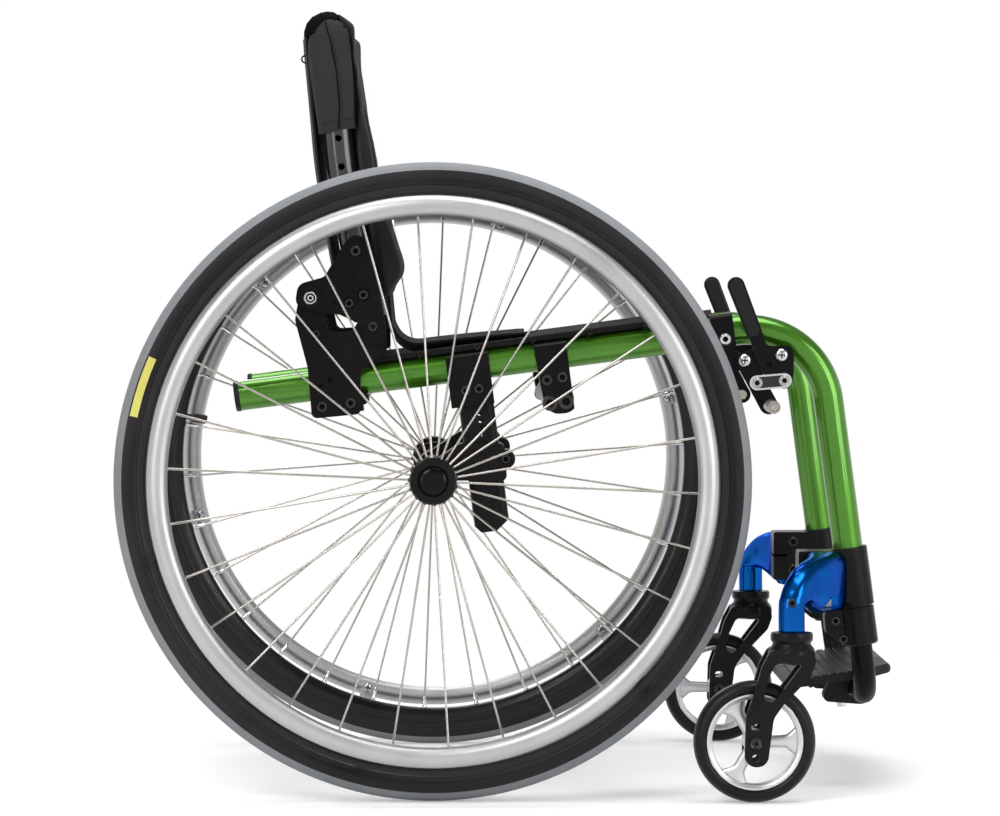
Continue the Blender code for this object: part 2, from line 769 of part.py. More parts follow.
def add_stem_clamps_and_stems():
    """The clamps under the rails and the stems that hang from them."""
    slot_half = STEM_ACROSS / 2 + GAP
    slot_top = SEAT_RADIUS + 0.0050
    clamp = cradle(STEM_CLAMP_X, STEM_CLAMP_LENGTH, STEM_CLAMP_DROP, slot_half, slot_top)
    bolts = bolt_heads(STEM_CLAMP_BOLTS, RAIL_Y + CLAMP_HALF_WIDTH, 0.0020)
    add_pair("stem_clamp", fused(clamp, bolts), "black satin")

    top = rail_point(STEM_CLAMP_X, -slot_top - GAP).z
    stem = stem_box(STEM_END, top, 0)
    hollow = stem_box(STEM_END + 0.016, top + 0.02, -STEM_WALL)
    toe = stem_point(STEM_END)
    slant = side_plate([(toe.x, STEM_END - 0.006), (toe.x + 0.030, STEM_END - 0.006),
                        (toe.x + 0.030, STEM_END + STEM_SLANT)], RAIL_Y - 0.02, RAIL_Y + 0.02)
    rows = [BLOCK_TOP + STEM_HOLE_ABOVE + k * STEM_HOLE_PITCH for k in range(STEM_HOLES_ABOVE)]
    rows += [BLOCK_BOTTOM - STEM_HOLE_BELOW - k * STEM_HOLE_PITCH for k in range(STEM_HOLES_BELOW)]
    pins = [cross_pin(flat(stem_point(z)), STEM_HOLE_DIAMETER / 2, RAIL_Y - 0.02, RAIL_Y + 0.02, 6)
            for z in rows]
    add_pair("axle_stem", cut(stem, slant, hollow, joined(pins)), "black satin")


def add_axle_blocks():
    """The blocks on the stems, which hold the axles, and the tube between them."""
    centre_z = axle_height((RECEIVER_INNER + RECEIVER_OUTER) / 2)
    front = stem_point((BLOCK_TOP + BLOCK_BOTTOM) / 2).x + STEM_LENGTHWISE / 2 + 0.0045
    corners = [
        (-0.006, centre_z + 0.014, 0.004), (0.026, BLOCK_TOP, 0.006),
        (front - 0.002, BLOCK_TOP, 0.004), (front + 0.001, BLOCK_BOTTOM, 0.004),
        (0.020, BLOCK_BOTTOM, 0.006), (-0.006, centre_z - 0.013, 0.004),
    ]
    inner = RAIL_Y - BLOCK_HALF_WIDTH
    outer = RAIL_Y + BLOCK_HALF_WIDTH
    block = side_plate(rounded(corners), inner, outer)
    lobe = cross_pin(BLOCK_LOBE, BLOCK_LOBE_RADIUS, inner + 0.001, outer - 0.001, 10)
    receiver = cross_pin((0, centre_z), RECEIVER_RADIUS, RECEIVER_INNER, RECEIVER_OUTER, 14)
    passage = stem_box(BLOCK_BOTTOM - 0.02, BLOCK_TOP + 0.02, GAP)
    place = Matrix.Translation((0, 0, -LIFT)) @ wheel_place(1)
    bore = turned([(AXLE_BORE, -AXLE_INNER_END - GAP), (AXLE_BORE, 0)], place)
    add_pair("axle_block", cut(fused(block, lobe, receiver), passage, bore), "black satin")

    end = RECEIVER_INNER - GAP
    tube = swept([(0, -end, centre_z), (0, end, centre_z)], CAMBER_TUBE / 2, 16,
                 CAMBER_TUBE / 2 - CAMBER_TUBE_WALL)
    add_node("camber_tube", tube, "black satin")


def add_seat_supports():
    """The brackets on the rails and the cross bar that they carry."""
    x, z = flat(rail_point(CROSS_BAR_X, -CROSS_BAR_DROP))
    half = SEAT_BRACKET_LENGTH / 2
    top = rail_point(SEAT_BRACKET_X, CLAMP_RISE + 0.002)
    body = cradle(SEAT_BRACKET_X, SEAT_BRACKET_LENGTH, SEAT_BRACKET_DROP,
                  CLAMP_HALF_WIDTH - 0.0055, SEAT_RADIUS + 0.0100)
    mask = side_plate(rounded([
        (top.x - half - 0.001, top.z - 0.001, 0),
        (x - half - 0.0005, z - half + 0.0015, half * 0.9),
        (x + half + 0.0005, z - half + 0.0045, half * 0.9),
        (top.x + half + 0.001, top.z + 0.003, 0),
    ], steps=4), RAIL_Y - 0.03, RAIL_Y + 0.03)
    bolts = bolt_heads(SEAT_BRACKET_BOLTS, RAIL_Y + CLAMP_HALF_WIDTH, 0.0008)
    add_pair("seat_bracket", fused(combined(body, mask, "INTERSECT"), bolts), "black satin")

    face = RAIL_Y - CLAMP_HALF_WIDTH - GAP
    flange_in = face - CROSS_BAR_FLANGE
    bore = CROSS_BAR_TUBE / 2 - CROSS_BAR_WALL
    tube = turned([(CROSS_BAR_TUBE / 2, -flange_in - 0.001), (CROSS_BAR_TUBE / 2, flange_in + 0.001)],
                  across_place(1, x, z), 12)
    outline = rounded([(x - 0.0235, z + 0.019, 0.003), (x - 0.0235, z - 0.004, 0.010),
                       (x - 0.006, z - 0.0145, 0.008), (x + 0.0145, z - 0.0125, 0.010),
                       (x + 0.0145, z + 0.023, 0.003)])
    flanges = joined([side_plate(outline, side * flange_in, side * face) for side in SIDES])
    hollow = turned([(bore, -face - 0.01), (bore, face + 0.01)], across_place(1, x, z), 12)
    add_node("seat_cross_bar", cut(fused(tube, flanges), hollow), "silver")


def caster_tyre_solid():
    """A caster tyre with a full round tread."""
    seat = CASTER_RIM_DIAMETER / 2 + GAP
    half = CASTER_WIDTH / 2
    wall = [(CASTER_RADIUS - 0.0024, 0.66 * half), (CASTER_RADIUS - 0.0074, half), (seat, 0.82 * half)]
    profile = mirrored_profile(wall, [(CASTER_RADIUS, 0)])
    return turned(profile, sides=CASTER_SIDES, closed=True)


def caster_rim_solid():
    """The caster rim: a ring, a hub and wide-footed spokes."""
    outer = CASTER_RIM_DIAMETER / 2
    inner = CASTER_RIM_BORE / 2
    wall = [(outer, CASTER_RIM_WIDTH / 2), (inner, CASTER_RIM_WIDTH / 2)]
    rim = turned(mirrored_profile(wall), sides=CASTER_SIDES, closed=True)
    bore = CASTER_AXLE_DIAMETER / 2 + 2 * GAP
    reach = CASTER_HUB_WIDTH / 2
    hub = turned(mirrored_profile([(CASTER_HUB_RADIUS, reach), (bore, reach)]), sides=12, closed=True)
    foot = inner + 0.002
    outline = [(0.0085, -0.0050), (foot - 0.006, -0.0050), (foot, -0.0110),
               (foot - 0.001, 0.0150), (foot - 0.012, 0.0060), (0.0085, 0.0050)]
    spokes = []
    for k in range(CASTER_SPOKES):
        spoke = prism(outline, -0.0045, 0.0045, lambda u, v, w: Vector((u, v, w)))
        spoke.transform(Matrix.Rotation(radians(15) + 2 * pi * k / CASTER_SPOKES, 4, "Z"))
        spokes.append(spoke)
    return fused(rim, joined(spokes), hub)


def fork_solid():
    """The caster fork: crown, two windowed legs and the swivel stem."""
    x = CASTER_COLUMN_X
    axle_x = x - CASTER_TRAIL
    top = COLUMN_BOTTOM - 2 * GAP
    crown = turned([
        (0.0170, 0.1215), (FORK_CROWN_RADIUS, 0.1420), (0.0168, 0.1478), (FORK_CROWN_RADIUS, 0.1515),
        (FORK_CROWN_RADIUS, top), (FORK_STEM_RADIUS, top), (FORK_STEM_RADIUS, FORK_STEM_TOP),
    ], Matrix.Translation((x, CASTER_Y, 0)), 12)
    leg = rounded([
        (x - 0.033, 0.1450, 0.006), (x - 0.0375, 0.1184, 0), (axle_x - 0.0095, 0.0809, 0.010),
        (axle_x - 0.0107, 0.0350, 0.0100), (axle_x + 0.0107, 0.0350, 0.0100),
        (axle_x + 0.0145, 0.0860, 0.014), (x + 0.0035, 0.1184, 0),
        (x + 0.0195, 0.1340, 0.006), (x + 0.0195, 0.1450, 0.004),
    ])
    window = rounded([
        (x - 0.0225, 0.1190, 0), (x - 0.0205, 0.1290, 0.003), (x - 0.010, 0.1345, 0.003),
        (x + 0.0020, 0.1345, 0), (x - 0.0170, 0.1000, 0.003), (x - 0.0285, 0.0960, 0.003),
    ])
    axle_hole = hole((axle_x, CASTER_RADIUS), CASTER_AXLE_DIAMETER / 2 + 2 * GAP)
    inner = FORK_LEG_INNER
    outer = FORK_LEG_INNER + FORK_LEG_THICKNESS
    legs = [side_plate(leg, CASTER_Y + face * inner, CASTER_Y + face * outer, [window, axle_hole])
            for face in (-1, 1)]
    bridge = rounded([(x - 0.0300, 0.1205, 0.003), (x + 0.0165, 0.1290, 0.003),
                      (x + 0.0165, 0.1430, 0.004), (x - 0.0285, 0.1430, 0.006)])
    yoke = side_plate(bridge, CASTER_Y - outer + 0.0005, CASTER_Y + outer - 0.0005)
    return fused(crown, yoke, joined(legs))


def caster_axle_solid():
    """The caster's axle bolt with a head at each end, along Z."""
    shaft = CASTER_AXLE_DIAMETER / 2
    head = CASTER_AXLE_HEAD_RADIUS
    end = FORK_LEG_INNER + FORK_LEG_THICKNESS + GAP
    wall = [(head - 0.001, end + 0.0028), (head, end + 0.0018), (head, end), (shaft, end)]
    profile = wall + [(r, -w) for r, w in reversed(wall)]
    return turned(profile, sides=10)


def housing_solid():
    """The blue caster housing: an arm that rises from the swivel column to the sleeve."""
    def section(x, y, z, along, across, half_width, half_height, power):
        forward = Vector(along).normalized()
        wide = Vector(across).normalized()
        up = wide.cross(forward)
        points = []
        for k in range(12):
            a = 2 * pi * (k + 0.5) / 12
            grow = (abs(cos(a)) ** power + abs(sin(a)) ** power) ** (-1 / power)
            points.append(Vector((x, y, z)) + wide * (half_width * grow * cos(a))
                          + up * (half_height * grow * sin(a)))
        return points

    x, y, radius = CASTER_COLUMN_X, CASTER_Y, COLUMN_RADIUS
    arm_y = RAIL_Y + SLEEVE_RADIUS
    turn = (-0.83, -0.55, 0)
    arm = loft([
        section(x, y, COLUMN_BOTTOM, (0, 0, 1), turn, radius, radius, 2),
        section(x, y, 0.1830, (0, 0, 1), turn, radius, radius, 2),
        section(x + 0.0015, y - 0.0025, 0.1930, (0.22, -0.33, 0.90), turn, 0.0125, 0.0128, 2.2),
        section(x + 0.0070, y - 0.0120, 0.2045, (0.45, -0.68, 0.58), turn, 0.0130, 0.0140, 2.4),
        section(x + 0.0170, y - 0.0290, 0.2090, (0.54, -0.82, 0.18), turn, 0.0140, 0.0165, 2.6),
        section(x + 0.0290, y - 0.0500, 0.2075, (0.50, -0.86, 0), (-0.86, -0.50, 0), 0.0165, 0.0200, 3),
        section(x + 0.0370, arm_y + 0.0085, 0.2035, (0.25, -0.97, 0), (-0.97, -0.25, 0),
                0.0210, 0.0245, 4),
        section(x + 0.0385, arm_y + 2 * GAP, 0.2025, (0, -1, 0), (-1, 0, 0), 0.0215, 0.0255, 5),
    ])
    hole = FORK_STEM_RADIUS + GAP
    bore = turned([(hole, COLUMN_BOTTOM - 0.01), (hole, FORK_STEM_TOP + GAP)],
                  Matrix.Translation((x, y, 0)), 12)
    return cut(arm, bore)


def sleeve_solid():
    """The sleeve on the down tube, with the pinch block that the housing bolts to."""
    middle = (SLEEVE_TOP + SLEEVE_BOTTOM) / 2
    centre = moved(down_tube_point(middle), RAIL_Y)
    half = (SLEEVE_TOP - SLEEVE_BOTTOM) / 2 / cos(DOWN_TUBE_LEAN)
    place = frame_of(DOWN_FORWARD, DOWN_ALONG.cross(DOWN_FORWARD), DOWN_ALONG, centre)
    sleeve = turned([(SLEEVE_RADIUS, -half), (SLEEVE_RADIUS, half)], place)
    back = CASTER_COLUMN_X + 0.0140
    outline = rounded([(back, SLEEVE_BOTTOM + 0.004, 0.002), (centre.x + 0.004, SLEEVE_BOTTOM + 0.004, 0),
                       (centre.x - 0.002, SLEEVE_TOP - 0.003, 0), (back, SLEEVE_TOP - 0.003, 0.002)])
    low = RAIL_Y - SLEEVE_RADIUS + 0.0010
    block = side_plate(outline, low, RAIL_Y + SLEEVE_RADIUS)
    bore = turned([(SEAT_RADIUS + 0.0002, -2 * half), (SEAT_RADIUS + 0.0002, 2 * half)], place)
    heads = [(back + 0.0200, 0.2180), (back + 0.0200, 0.1900)]
    screws = joined([cross_pin(spot, 0.0048, low - 0.0018, low + 0.001, 8) for spot in heads])
    return cut(fused(sleeve, block, screws), bore)


def add_casters():
    """Both front casters, from the sleeves on the frame to the wheels."""
    add_pair("caster_sleeve", sleeve_solid(), "black satin")
    add_pair("caster_housing", housing_solid(), "blue anodised")
    column = Vector((CASTER_COLUMN_X, CASTER_Y, COLUMN_BOTTOM))
    swivels = {}
    for side, word in SIDES.items():
        place = Matrix.Translation((column.x, side * column.y, column.z))
        swivels[side] = add_empty(f"caster_swivel_{word}", place, FRONT_GROUP)
    add_pair("caster_fork", fork_solid(), "black satin", column, swivels)
    for side, word in SIDES.items():
        hub = across_place(side, -CASTER_TRAIL, CASTER_RADIUS - COLUMN_BOTTOM)
        parent = swivels[side]
        add_node(f"caster_axle_{word}", caster_axle_solid(), "steel", hub, parent)
        add_node(f"caster_tyre_{word}", caster_tyre_solid(), "black tyre", hub, parent)
        add_node(f"caster_rim_{word}", caster_rim_solid(), "silver", hub, parent)


def add_footrest_collars():
    """The collars on the down tubes' ends, which grip the footrest tube."""
    centre = moved(down_tube_point(DOWN_TUBE_END), RAIL_Y)
    place = frame_of(DOWN_FORWARD, DOWN_ALONG.cross(DOWN_FORWARD), DOWN_ALONG, centre)
    high = (COLLAR_TOP - DOWN_TUBE_END) / cos(DOWN_TUBE_LEAN)
    low = (COLLAR_BOTTOM - DOWN_TUBE_END) / cos(DOWN_TUBE_LEAN)
    collar = turned([(COLLAR_RADIUS - 0.0016, low), (COLLAR_RADIUS, low + 0.003),
                     (COLLAR_RADIUS, high)], place)
    x = down_tube_point((COLLAR_TOP + COLLAR_BOTTOM) / 2).x
    ear = side_plate(rounded([
        (x - 0.0335, COLLAR_TOP - 0.003, 0.006), (x - 0.0315, COLLAR_BOTTOM + 0.012, 0.006),
        (x - 0.0180, COLLAR_BOTTOM + 0.0005, 0.008), (x - 0.002, COLLAR_BOTTOM + 0.002, 0),
        (x - 0.002, COLLAR_TOP - 0.002, 0),
    ]), RAIL_Y - 0.0100, RAIL_Y + 0.0100)
    wide = turned([(SEAT_RADIUS, -GAP), (SEAT_RADIUS, 0.05)], place)
    slide = FOOTREST_RADIUS + GAP
    narrow = turned([(slide, -0.05), (slide, 0.01)], place, 12)
    heads = bolt_heads(COLLAR_BOLTS, RAIL_Y + 0.0100, 0.0018, 0.0042)
    add_pair("footrest_collar", cut(fused(collar, ear, heads), wide, narrow), "black satin")


def add_footrest_loop():
    """The tube that slides in both down tubes and crosses below the footplate."""
    low = down_tube_point(FOOTREST_CROSS_HEIGHT)
    drop = (down_tube_point(FOOTREST_INSERT_TOP) - low).length
    outline = rounded([(-RAIL_Y, drop, 0), (-RAIL_Y, 0, FOOTREST_BEND), (RAIL_Y, 0, FOOTREST_BEND),
                       (RAIL_Y, drop, 0)], steps=4)
    path = [ACROSS * y + DOWN_ALONG * h for y, h in outline]
    loop = swept(path, FOOTREST_RADIUS, bore=FOOTREST_RADIUS - FOOTREST_WALL)
    add_node("footrest_loop", loop, "black satin", Matrix.Translation(low))


def add_footplate():
    """The grooved footplate and the two clamps that hold it on the cross tube."""
    rise = FOOTPLATE_RISE
    front = FOOTPLATE_AHEAD
    back = front - FOOTPLATE_DEPTH
    top = rise + FOOTPLATE_THICKNESS
    half = FOOTPLATE_WIDTH / 2
    nose = FOOTPLATE_THICKNESS * 0.45

    def spot(u, v, w):
        return Vector((u, w, v))
    section = rounded([(back, rise, 0), (front, rise, nose), (front, top, nose), (back, top, 0)])
    plate = prism(section, -half, half, spot)
    trim = rounded([(back - 0.01, -half + 0.004, 0), (back, -half + 0.004, 0),
                    (front - 0.022, -half + 0.001, 0.012), (front + 0.0005, -half + 0.022, 0.012),
                    (front + 0.0005, half - 0.022, 0.012), (front - 0.022, half - 0.001, 0.012),
                    (back, half - 0.004, 0), (back - 0.01, half - 0.004, 0)])
    trim = prism(trim, rise - 0.01, rise + 0.03, lambda u, v, w: Vector((u, v, w)))
    plate = combined(plate, trim, "INTERSECT")
    outer = FOOTREST_RADIUS + FOOTPLATE_CLAMP_WALL
    outline = belt([(0, 0, outer), (-0.0300, -0.0035, 0.0060), (-0.020, rise + 0.003, 0.003),
                    (outer - 0.004, rise + 0.003, 0.003)])
    clamps = []
    for face in (-1, 1):
        edge = face * FOOTPLATE_CLAMP_SPAN / 2 - FOOTPLATE_CLAMP_WIDTH / 2
        clamps.append(prism(outline, edge, edge + FOOTPLATE_CLAMP_WIDTH, spot))
    seat = prism(hole((0, 0), FOOTREST_RADIUS + GAP, 12), -half, half, spot)
    place = Matrix.Translation(down_tube_point(FOOTREST_CROSS_HEIGHT))
    place = place @ Matrix.Rotation(-FOOTPLATE_TILT, 4, "Y")
    add_node("footplate", cut(fused(plate, joined(clamps)), seat), "black satin", place)


def pin_and_head(centre, start, face, radius, head_radius, head_height):
    """A pivot pin from inside one plate through the next, with a head outside that one."""
    return [
        cross_pin(centre, radius, start, face + GAP + head_height / 2),
        cross_pin(centre, head_radius, face + GAP, face + GAP + head_height),
    ]


def add_wheel_locks():
    """The wheel locks: base, handle, link and shoe arm."""
    base_in = RAIL_Y + LOCK_CLAMP_RADIUS
    base_out = base_in + LOCK_BASE_PLATE
    lever_in = base_out + GAP
    lever_out = lever_in + LOCK_PLATE
    link_in = lever_out + GAP
    link_out = link_in + LOCK_LINK_PLATE
    pin = LOCK_PIN_RADIUS
    head = LOCK_HEAD_RADIUS
    bx, bz = LOCK_HANDLE_PIVOT
    rx, rz = LOCK_LINK_FRONT

    centre = rail_point(LOCK_CLAMP_X, y=RAIL_Y)
    edge = LOCK_CLAMP_RADIUS
    outline = rounded([(-0.0175, -0.0195, 0.006), (edge, -0.0195, 0.003), (edge, 0.0180, 0.006),
                       (-0.0175, 0.0180, 0.010)])

    def spot(u, v, w):
        return centre + ACROSS * u + RAIL_UP * v + RAIL_ALONG * w
    clamp = prism(outline, -LOCK_CLAMP_LENGTH / 2, LOCK_CLAMP_LENGTH / 2, spot,
                  [hole((0, 0), SEAT_RADIUS, 12)])
    plate = rounded([
        (0.2655, 0.4330, 0.003), (0.2655, 0.4080, 0.003), (0.2900, 0.4000, 0.006),
        (0.3330, 0.4030, 0.006), (0.3420, 0.4100, 0.006), (0.3400, 0.4240, 0.006),
        (0.3050, 0.4230, 0.006), (0.2880, 0.4330, 0.003),
    ])
    parts = [side_plate(plate, base_in - 0.0005, base_out)]
    for pivot in (LOCK_SHOE_PIVOT, LOCK_HANDLE_PIVOT):
        parts += pin_and_head(pivot, base_in + 0.001, lever_out, pin, head, 0.0018)
    add_pair("lock_base", fused(clamp, *parts), "black satin")

    tip = Vector(LOCK_TIP)
    lean = (Vector((bx - 0.0135, bz + 0.009)) - tip).normalized()
    start = atan2(lean.x, -lean.y)
    outline = arc(LOCK_TIP, LOCK_TIP_RADIUS, start, start + pi, 6)
    outline += [(0.3012, 0.4208), (0.3146, 0.4180), (0.3212, 0.3962)]
    outline += arc(LOCK_LINK_FRONT, 0.0078, radians(200), radians(355), 4)
    outline += [(0.3414, 0.3960), (0.3402, 0.4195), (0.3367, 0.4236), (0.3149, 0.4264)]
    handle = side_plate(outline, lever_in, lever_out, [hole(LOCK_HANDLE_PIVOT, pin + GAP)])
    grip_end = tip + lean * LOCK_GRIP_LENGTH
    grip = belt([(*tip, LOCK_TIP_RADIUS - 0.0004), (*grip_end, LOCK_TIP_RADIUS - 0.0004)])
    parts = pin_and_head(LOCK_LINK_FRONT, lever_in + 0.001, link_out, pin, head - 0.001, 0.0014)
    parts.append(side_plate(grip, lever_in - 0.0015, lever_out + 0.0015))
    add_pair("lock_handle", fused(handle, *parts), "black grip", (bx, 0, bz))

    outline = belt([(*LOCK_LINK_REAR, 0.0070), (*LOCK_LINK_FRONT, 0.0070)])
    holes = [hole(LOCK_LINK_FRONT, pin + GAP),
             hole(LOCK_LINK_REAR, pin + LOCK_OPEN_PIVOT_CLEARANCE)]
    add_pair("lock_link", side_plate(outline, link_in, link_out, holes), "zinc", (rx, 0, rz))

    outline = belt([(*LOCK_SHOE_PIVOT, 0.0085), (*LOCK_SHOE, 0.0080)])
    arm = side_plate(outline, lever_in, lever_out, [hole(LOCK_SHOE_PIVOT, pin + GAP)])
    parts = pin_and_head(LOCK_LINK_REAR, lever_in + 0.001, link_out, pin, head - 0.001, 0.0014)
    parts.append(cross_pin(LOCK_SHOE, LOCK_SHOE_RADIUS, lever_in + 0.001,
                           (HUB_TRACK + TYRE_WIDTH) / 2, 12))
    add_pair("lock_shoe_arm", fused(arm, *parts), "zinc", (LOCK_SHOE_PIVOT[0], 0, LOCK_SHOE_PIVOT[1]))


def release_slot():
    """The slot in which the release bar slides away from the back's pivot."""
    away = (Vector(RELEASE_BAR) - Vector(BACK_PIVOT)).normalized()
    far = Vector(RELEASE_BAR) + away * (RELEASE_TRAVEL + GAP)
    radius = (RELEASE_BAR_RADIUS + GAP) / cos(pi / 8)
    start = atan2(away.y, away.x)
    return (arc(far, radius, start - pi / 2, start + pi / 2, 4)
            + arc(RELEASE_BAR, radius, start + pi / 2, start + 3 * pi / 2, 4))


def add_back_brackets():
    """The fixed lower plates, on which the back turns, and the upper plates that fold with it."""
    low_in = RAIL_Y + TUBE_RADIUS + GAP
    low_out = low_in + BACK_PLATE
    high_in = low_out + GAP
    high_out = high_in + BACK_PLATE
    px, pz = BACK_PIVOT
    bar_x, bar_z = RELEASE_BAR
    ledge = bar_z - RELEASE_BAR_RADIUS - GAP
    plate = side_plate(rounded([
        (bar_x - 0.0125, ledge, 0), (bar_x - 0.0150, 0.4480, 0.010), (-0.1190, 0.4030, 0.010),
        (-0.1155, 0.3550, 0.003), (-0.0675, 0.3595, 0.003), (-0.0670, 0.4020, 0.010),
        (-0.0440, 0.4170, 0.003), (px + 0.0125, pz - 0.0050, 0.004), (px + 0.0120, pz + 0.0110, 0.010),
        (px - 0.0090, pz + 0.0125, 0.008), (px - 0.0230, 0.4345, 0.003), (-0.0960, 0.4400, 0.005),
        (-0.1010, 0.4560, 0.003), (bar_x + 0.0080, ledge, 0),
    ]), low_in, low_out)
    clamp = cradle(BACK_CLAMP_X, BACK_CLAMP_LENGTH, BACK_CLAMP_DROP, 0.0040, SEAT_RADIUS + 0.0050)
    bolts = bolt_heads(BACK_CLAMP_BOLTS, low_out, 0.0018, 0.0052)
    pivot = pin_and_head(BACK_PIVOT, low_in + 0.001, high_out, BACK_PIN_RADIUS, 0.0068, 0.0022)
    add_pair("back_lower_plate", fused(clamp, plate, bolts, *pivot), "black satin")

    top = cane_point(CANE_BOLTS[-1])
    plate = side_plate(rounded([
        (top.x - 0.0115, top.z + 0.006, 0.009), (top.x - 0.002, top.z + 0.0175, 0.009),
        (top.x + 0.0135, top.z + 0.010, 0.009), (px + 0.0115, pz + 0.006, 0),
        (px + 0.0125, pz - 0.0170, 0.005), (px - 0.0050, pz - 0.0170, 0.008),
        (px - 0.0120, pz + 0.0020, 0.003), (-0.0880, 0.4530, 0.003),
        (bar_x + 0.0050, bar_z - 0.0125, 0.006), (bar_x - 0.0150, bar_z - 0.0080, 0.007),
        (bar_x - 0.0120, bar_z + 0.0130, 0.008), (-0.1030, 0.4890, 0.006),
    ]), high_in, high_out, [release_slot(), hole(BACK_PIVOT, BACK_PIN_RADIUS + GAP)])
    spots = [flat(cane_point(z)) for z in CANE_BOLTS]
    bosses = joined([cross_pin(spot, BACK_BOSS_RADIUS, low_in, high_in + 0.001) for spot in spots])
    bolts = joined([cross_pin(spot, CANE_HOLE_DIAMETER / 2 - GAP, RAIL_Y - TUBE_RADIUS - 0.002,
                              low_in + 0.001, 8) for spot in spots])
    heads = bolt_heads(spots, high_out, 0.0018, 0.0050)
    add_pair("back_upper_plate", fused(plate, bosses, bolts, heads), "black satin", (px, 0, pz))


def add_canes():
    """The back canes, with their bolt holes."""
    px, pz = BACK_PIVOT
    path = [moved(cane_point(z), RAIL_Y) for z in (CANE_BOTTOM, CANE_TOP)]
    tube = swept(path, TUBE_RADIUS, bore=TUBE_BORE)
    holes = [cross_pin(flat(cane_point(z)), CANE_HOLE_DIAMETER / 2, RAIL_Y - 0.02, RAIL_Y + 0.02, 8)
             for z in CANE_BOLTS]
    add_pair("back_cane", cut(tube, joined(holes)), "black satin", (px, 0, pz))


def add_release_bar():
    """The sprung bar across the back, which is pulled to fold it, with a screw hole in each end."""
    end = RAIL_Y + TUBE_RADIUS + 2 * (GAP + BACK_PLATE) + GAP + 0.0020
    radius = RELEASE_BAR_RADIUS * cos(pi / 12)
    half = [(RELEASE_BAR_BORE, end - 0.0015), (RELEASE_BAR_BORE, end), (radius, end)]
    profile = half + [(r, -w) for r, w in reversed(half)]
    place = across_place(1, *RELEASE_BAR)
    add_node("back_release_bar", turned(profile, sides=12), "steel", place)


def sheet_rings(stations, half_width, count=9):
    """Cross-sections of a sheet that sags between the rails.

    A station holds a point, its normal, its share of the sag and its thickness.
    """
    rings = []
    for point, normal, share, thickness in stations:
        upper, lower = [], []
        for i in range(count):
            y = half_width * (-1 + 2 * i / (count - 1))
            dip = SLING_SAG * share * (1 - min(1, abs(y) / (RAIL_Y - TUBE_RADIUS)) ** 2)
            edge = 0.45 if i in (0, count - 1) else 1
            base = point + ACROSS * y - RAIL_UP * dip
            lower.append(base + normal * (thickness * (1 - edge) / 2))
            upper.append(base + normal * (thickness * (1 + edge) / 2))
        rings.append(upper + lower[::-1])
    return rings


def add_seat():
    """The sling on the rails and the flap of the back upholstery that lies on it."""
    rise = TUBE_RADIUS * cos(pi / TUBE_SIDES) + GAP
    hem = SLING_HEM_DEPTH
    places = (SLING_REAR_X, SLING_FRONT_X - hem, SLING_FRONT_X - hem * 0.95, SLING_FRONT_X)
    depths = (SLING_THICKNESS, SLING_THICKNESS, SLING_THICKNESS + 0.0012, SLING_THICKNESS)
    stations = [(rail_point(x, rise), RAIL_UP, 1.0, depth) for x, depth in zip(places, depths)]
    sling = loft(sheet_rings(stations, SLING_HALF_WIDTH))
    add_node("seat_sling", sling, "fabric")

    rise += SLING_THICKNESS + 3 * GAP
    route = rounded([
        (FLAP_REAR_X, UPHOLSTERY_BOTTOM - 0.0015, 0),
        (FLAP_REAR_X, rail_point(FLAP_REAR_X, rise).z, 0.020),
        (*flat(rail_point(FLAP_FRONT_X, rise)), 0),
    ], steps=4)
    stations = []
    for i, (x, z) in enumerate(route):
        before = Vector(route[max(i - 1, 0)])
        after = Vector(route[min(i + 1, len(route) - 1)])
        along = (after - before).normalized()
        share = 0.0 if i == 0 else 1.0
        stations.append((Vector((x, 0, z)), Vector((-along.y, 0, along.x)), share, FLAP_THICKNESS))
    flap = loft(sheet_rings(stations, FLAP_HALF_WIDTH))
    add_node("upholstery_flap", flap, "fabric")


def add_back_upholstery():
    """The padded back in front of the canes, with a pocket over each cane's top."""
    away = Vector((cos(BACK_LEAN), 0, sin(BACK_LEAN)))
    clear = TUBE_RADIUS + 2 * GAP
    pocket = POCKET_DEPTH
    levels = [
        (UPHOLSTERY_BOTTOM, clear, 0.0260), (0.4800, clear, 0.0290), (0.5020, clear, 0.0400),
        (0.5250, clear, 0.0370), (0.5800, clear, 0.0345), (POCKET_BOTTOM - 0.001, clear, 0.0330),
        (POCKET_BOTTOM, -pocket, 0.0330), (0.6700, -pocket, 0.0330), (0.7100, -pocket, 0.0290),
        (0.7300, -pocket + 0.001, 0.0240), (UPHOLSTERY_TOP, -pocket + 0.008, 0.0120),
    ]
    across = [0, 0.35, 0.65, 0.80, 0.93, 1.0]
    half = UPHOLSTERY_HALF_WIDTH
    rings = []
    for z, rear, front in levels:
        base = cane_point(z)
        depth = front - rear
        front_line, rear_line = [], []
        for t in [-a for a in reversed(across[1:])] + across:
            inside = 1 - min(1, abs(t) / 0.80) ** 2
            inset = depth * 0.35 * (abs(t) > 0.99)
            ahead = front - BACK_CONTOUR * inside - inset
            behind = rear + inset if abs(t) > 0.79 else min(rear, 0) - BACK_CONTOUR * 0.4 * inside
            behind = max(behind, ahead - 0.024) if abs(t) < 0.79 else behind
            front_line.append(base + away * ahead + ACROSS * (half * t))
            rear_line.append(base + away * behind + ACROSS * (half * t))
        rings.append(front_line + rear_line[::-1])
    bores = []
    for side in SIDES:
        path = [moved(cane_point(z), side * RAIL_Y) for z in (POCKET_BOTTOM - 0.03, CANE_TOP + GAP)]
        bores.append(swept(path, SEAT_RADIUS / cos(pi / TUBE_SIDES)))
    back = cut(loft(rings), joined(bores))
    pivot = Vector((BACK_PIVOT[0], 0, BACK_PIVOT[1]))
    bmesh.ops.translate(back, verts=back.verts, vec=-pivot)
    add_node("back_upholstery", back, "fabric", Matrix.Translation(pivot))


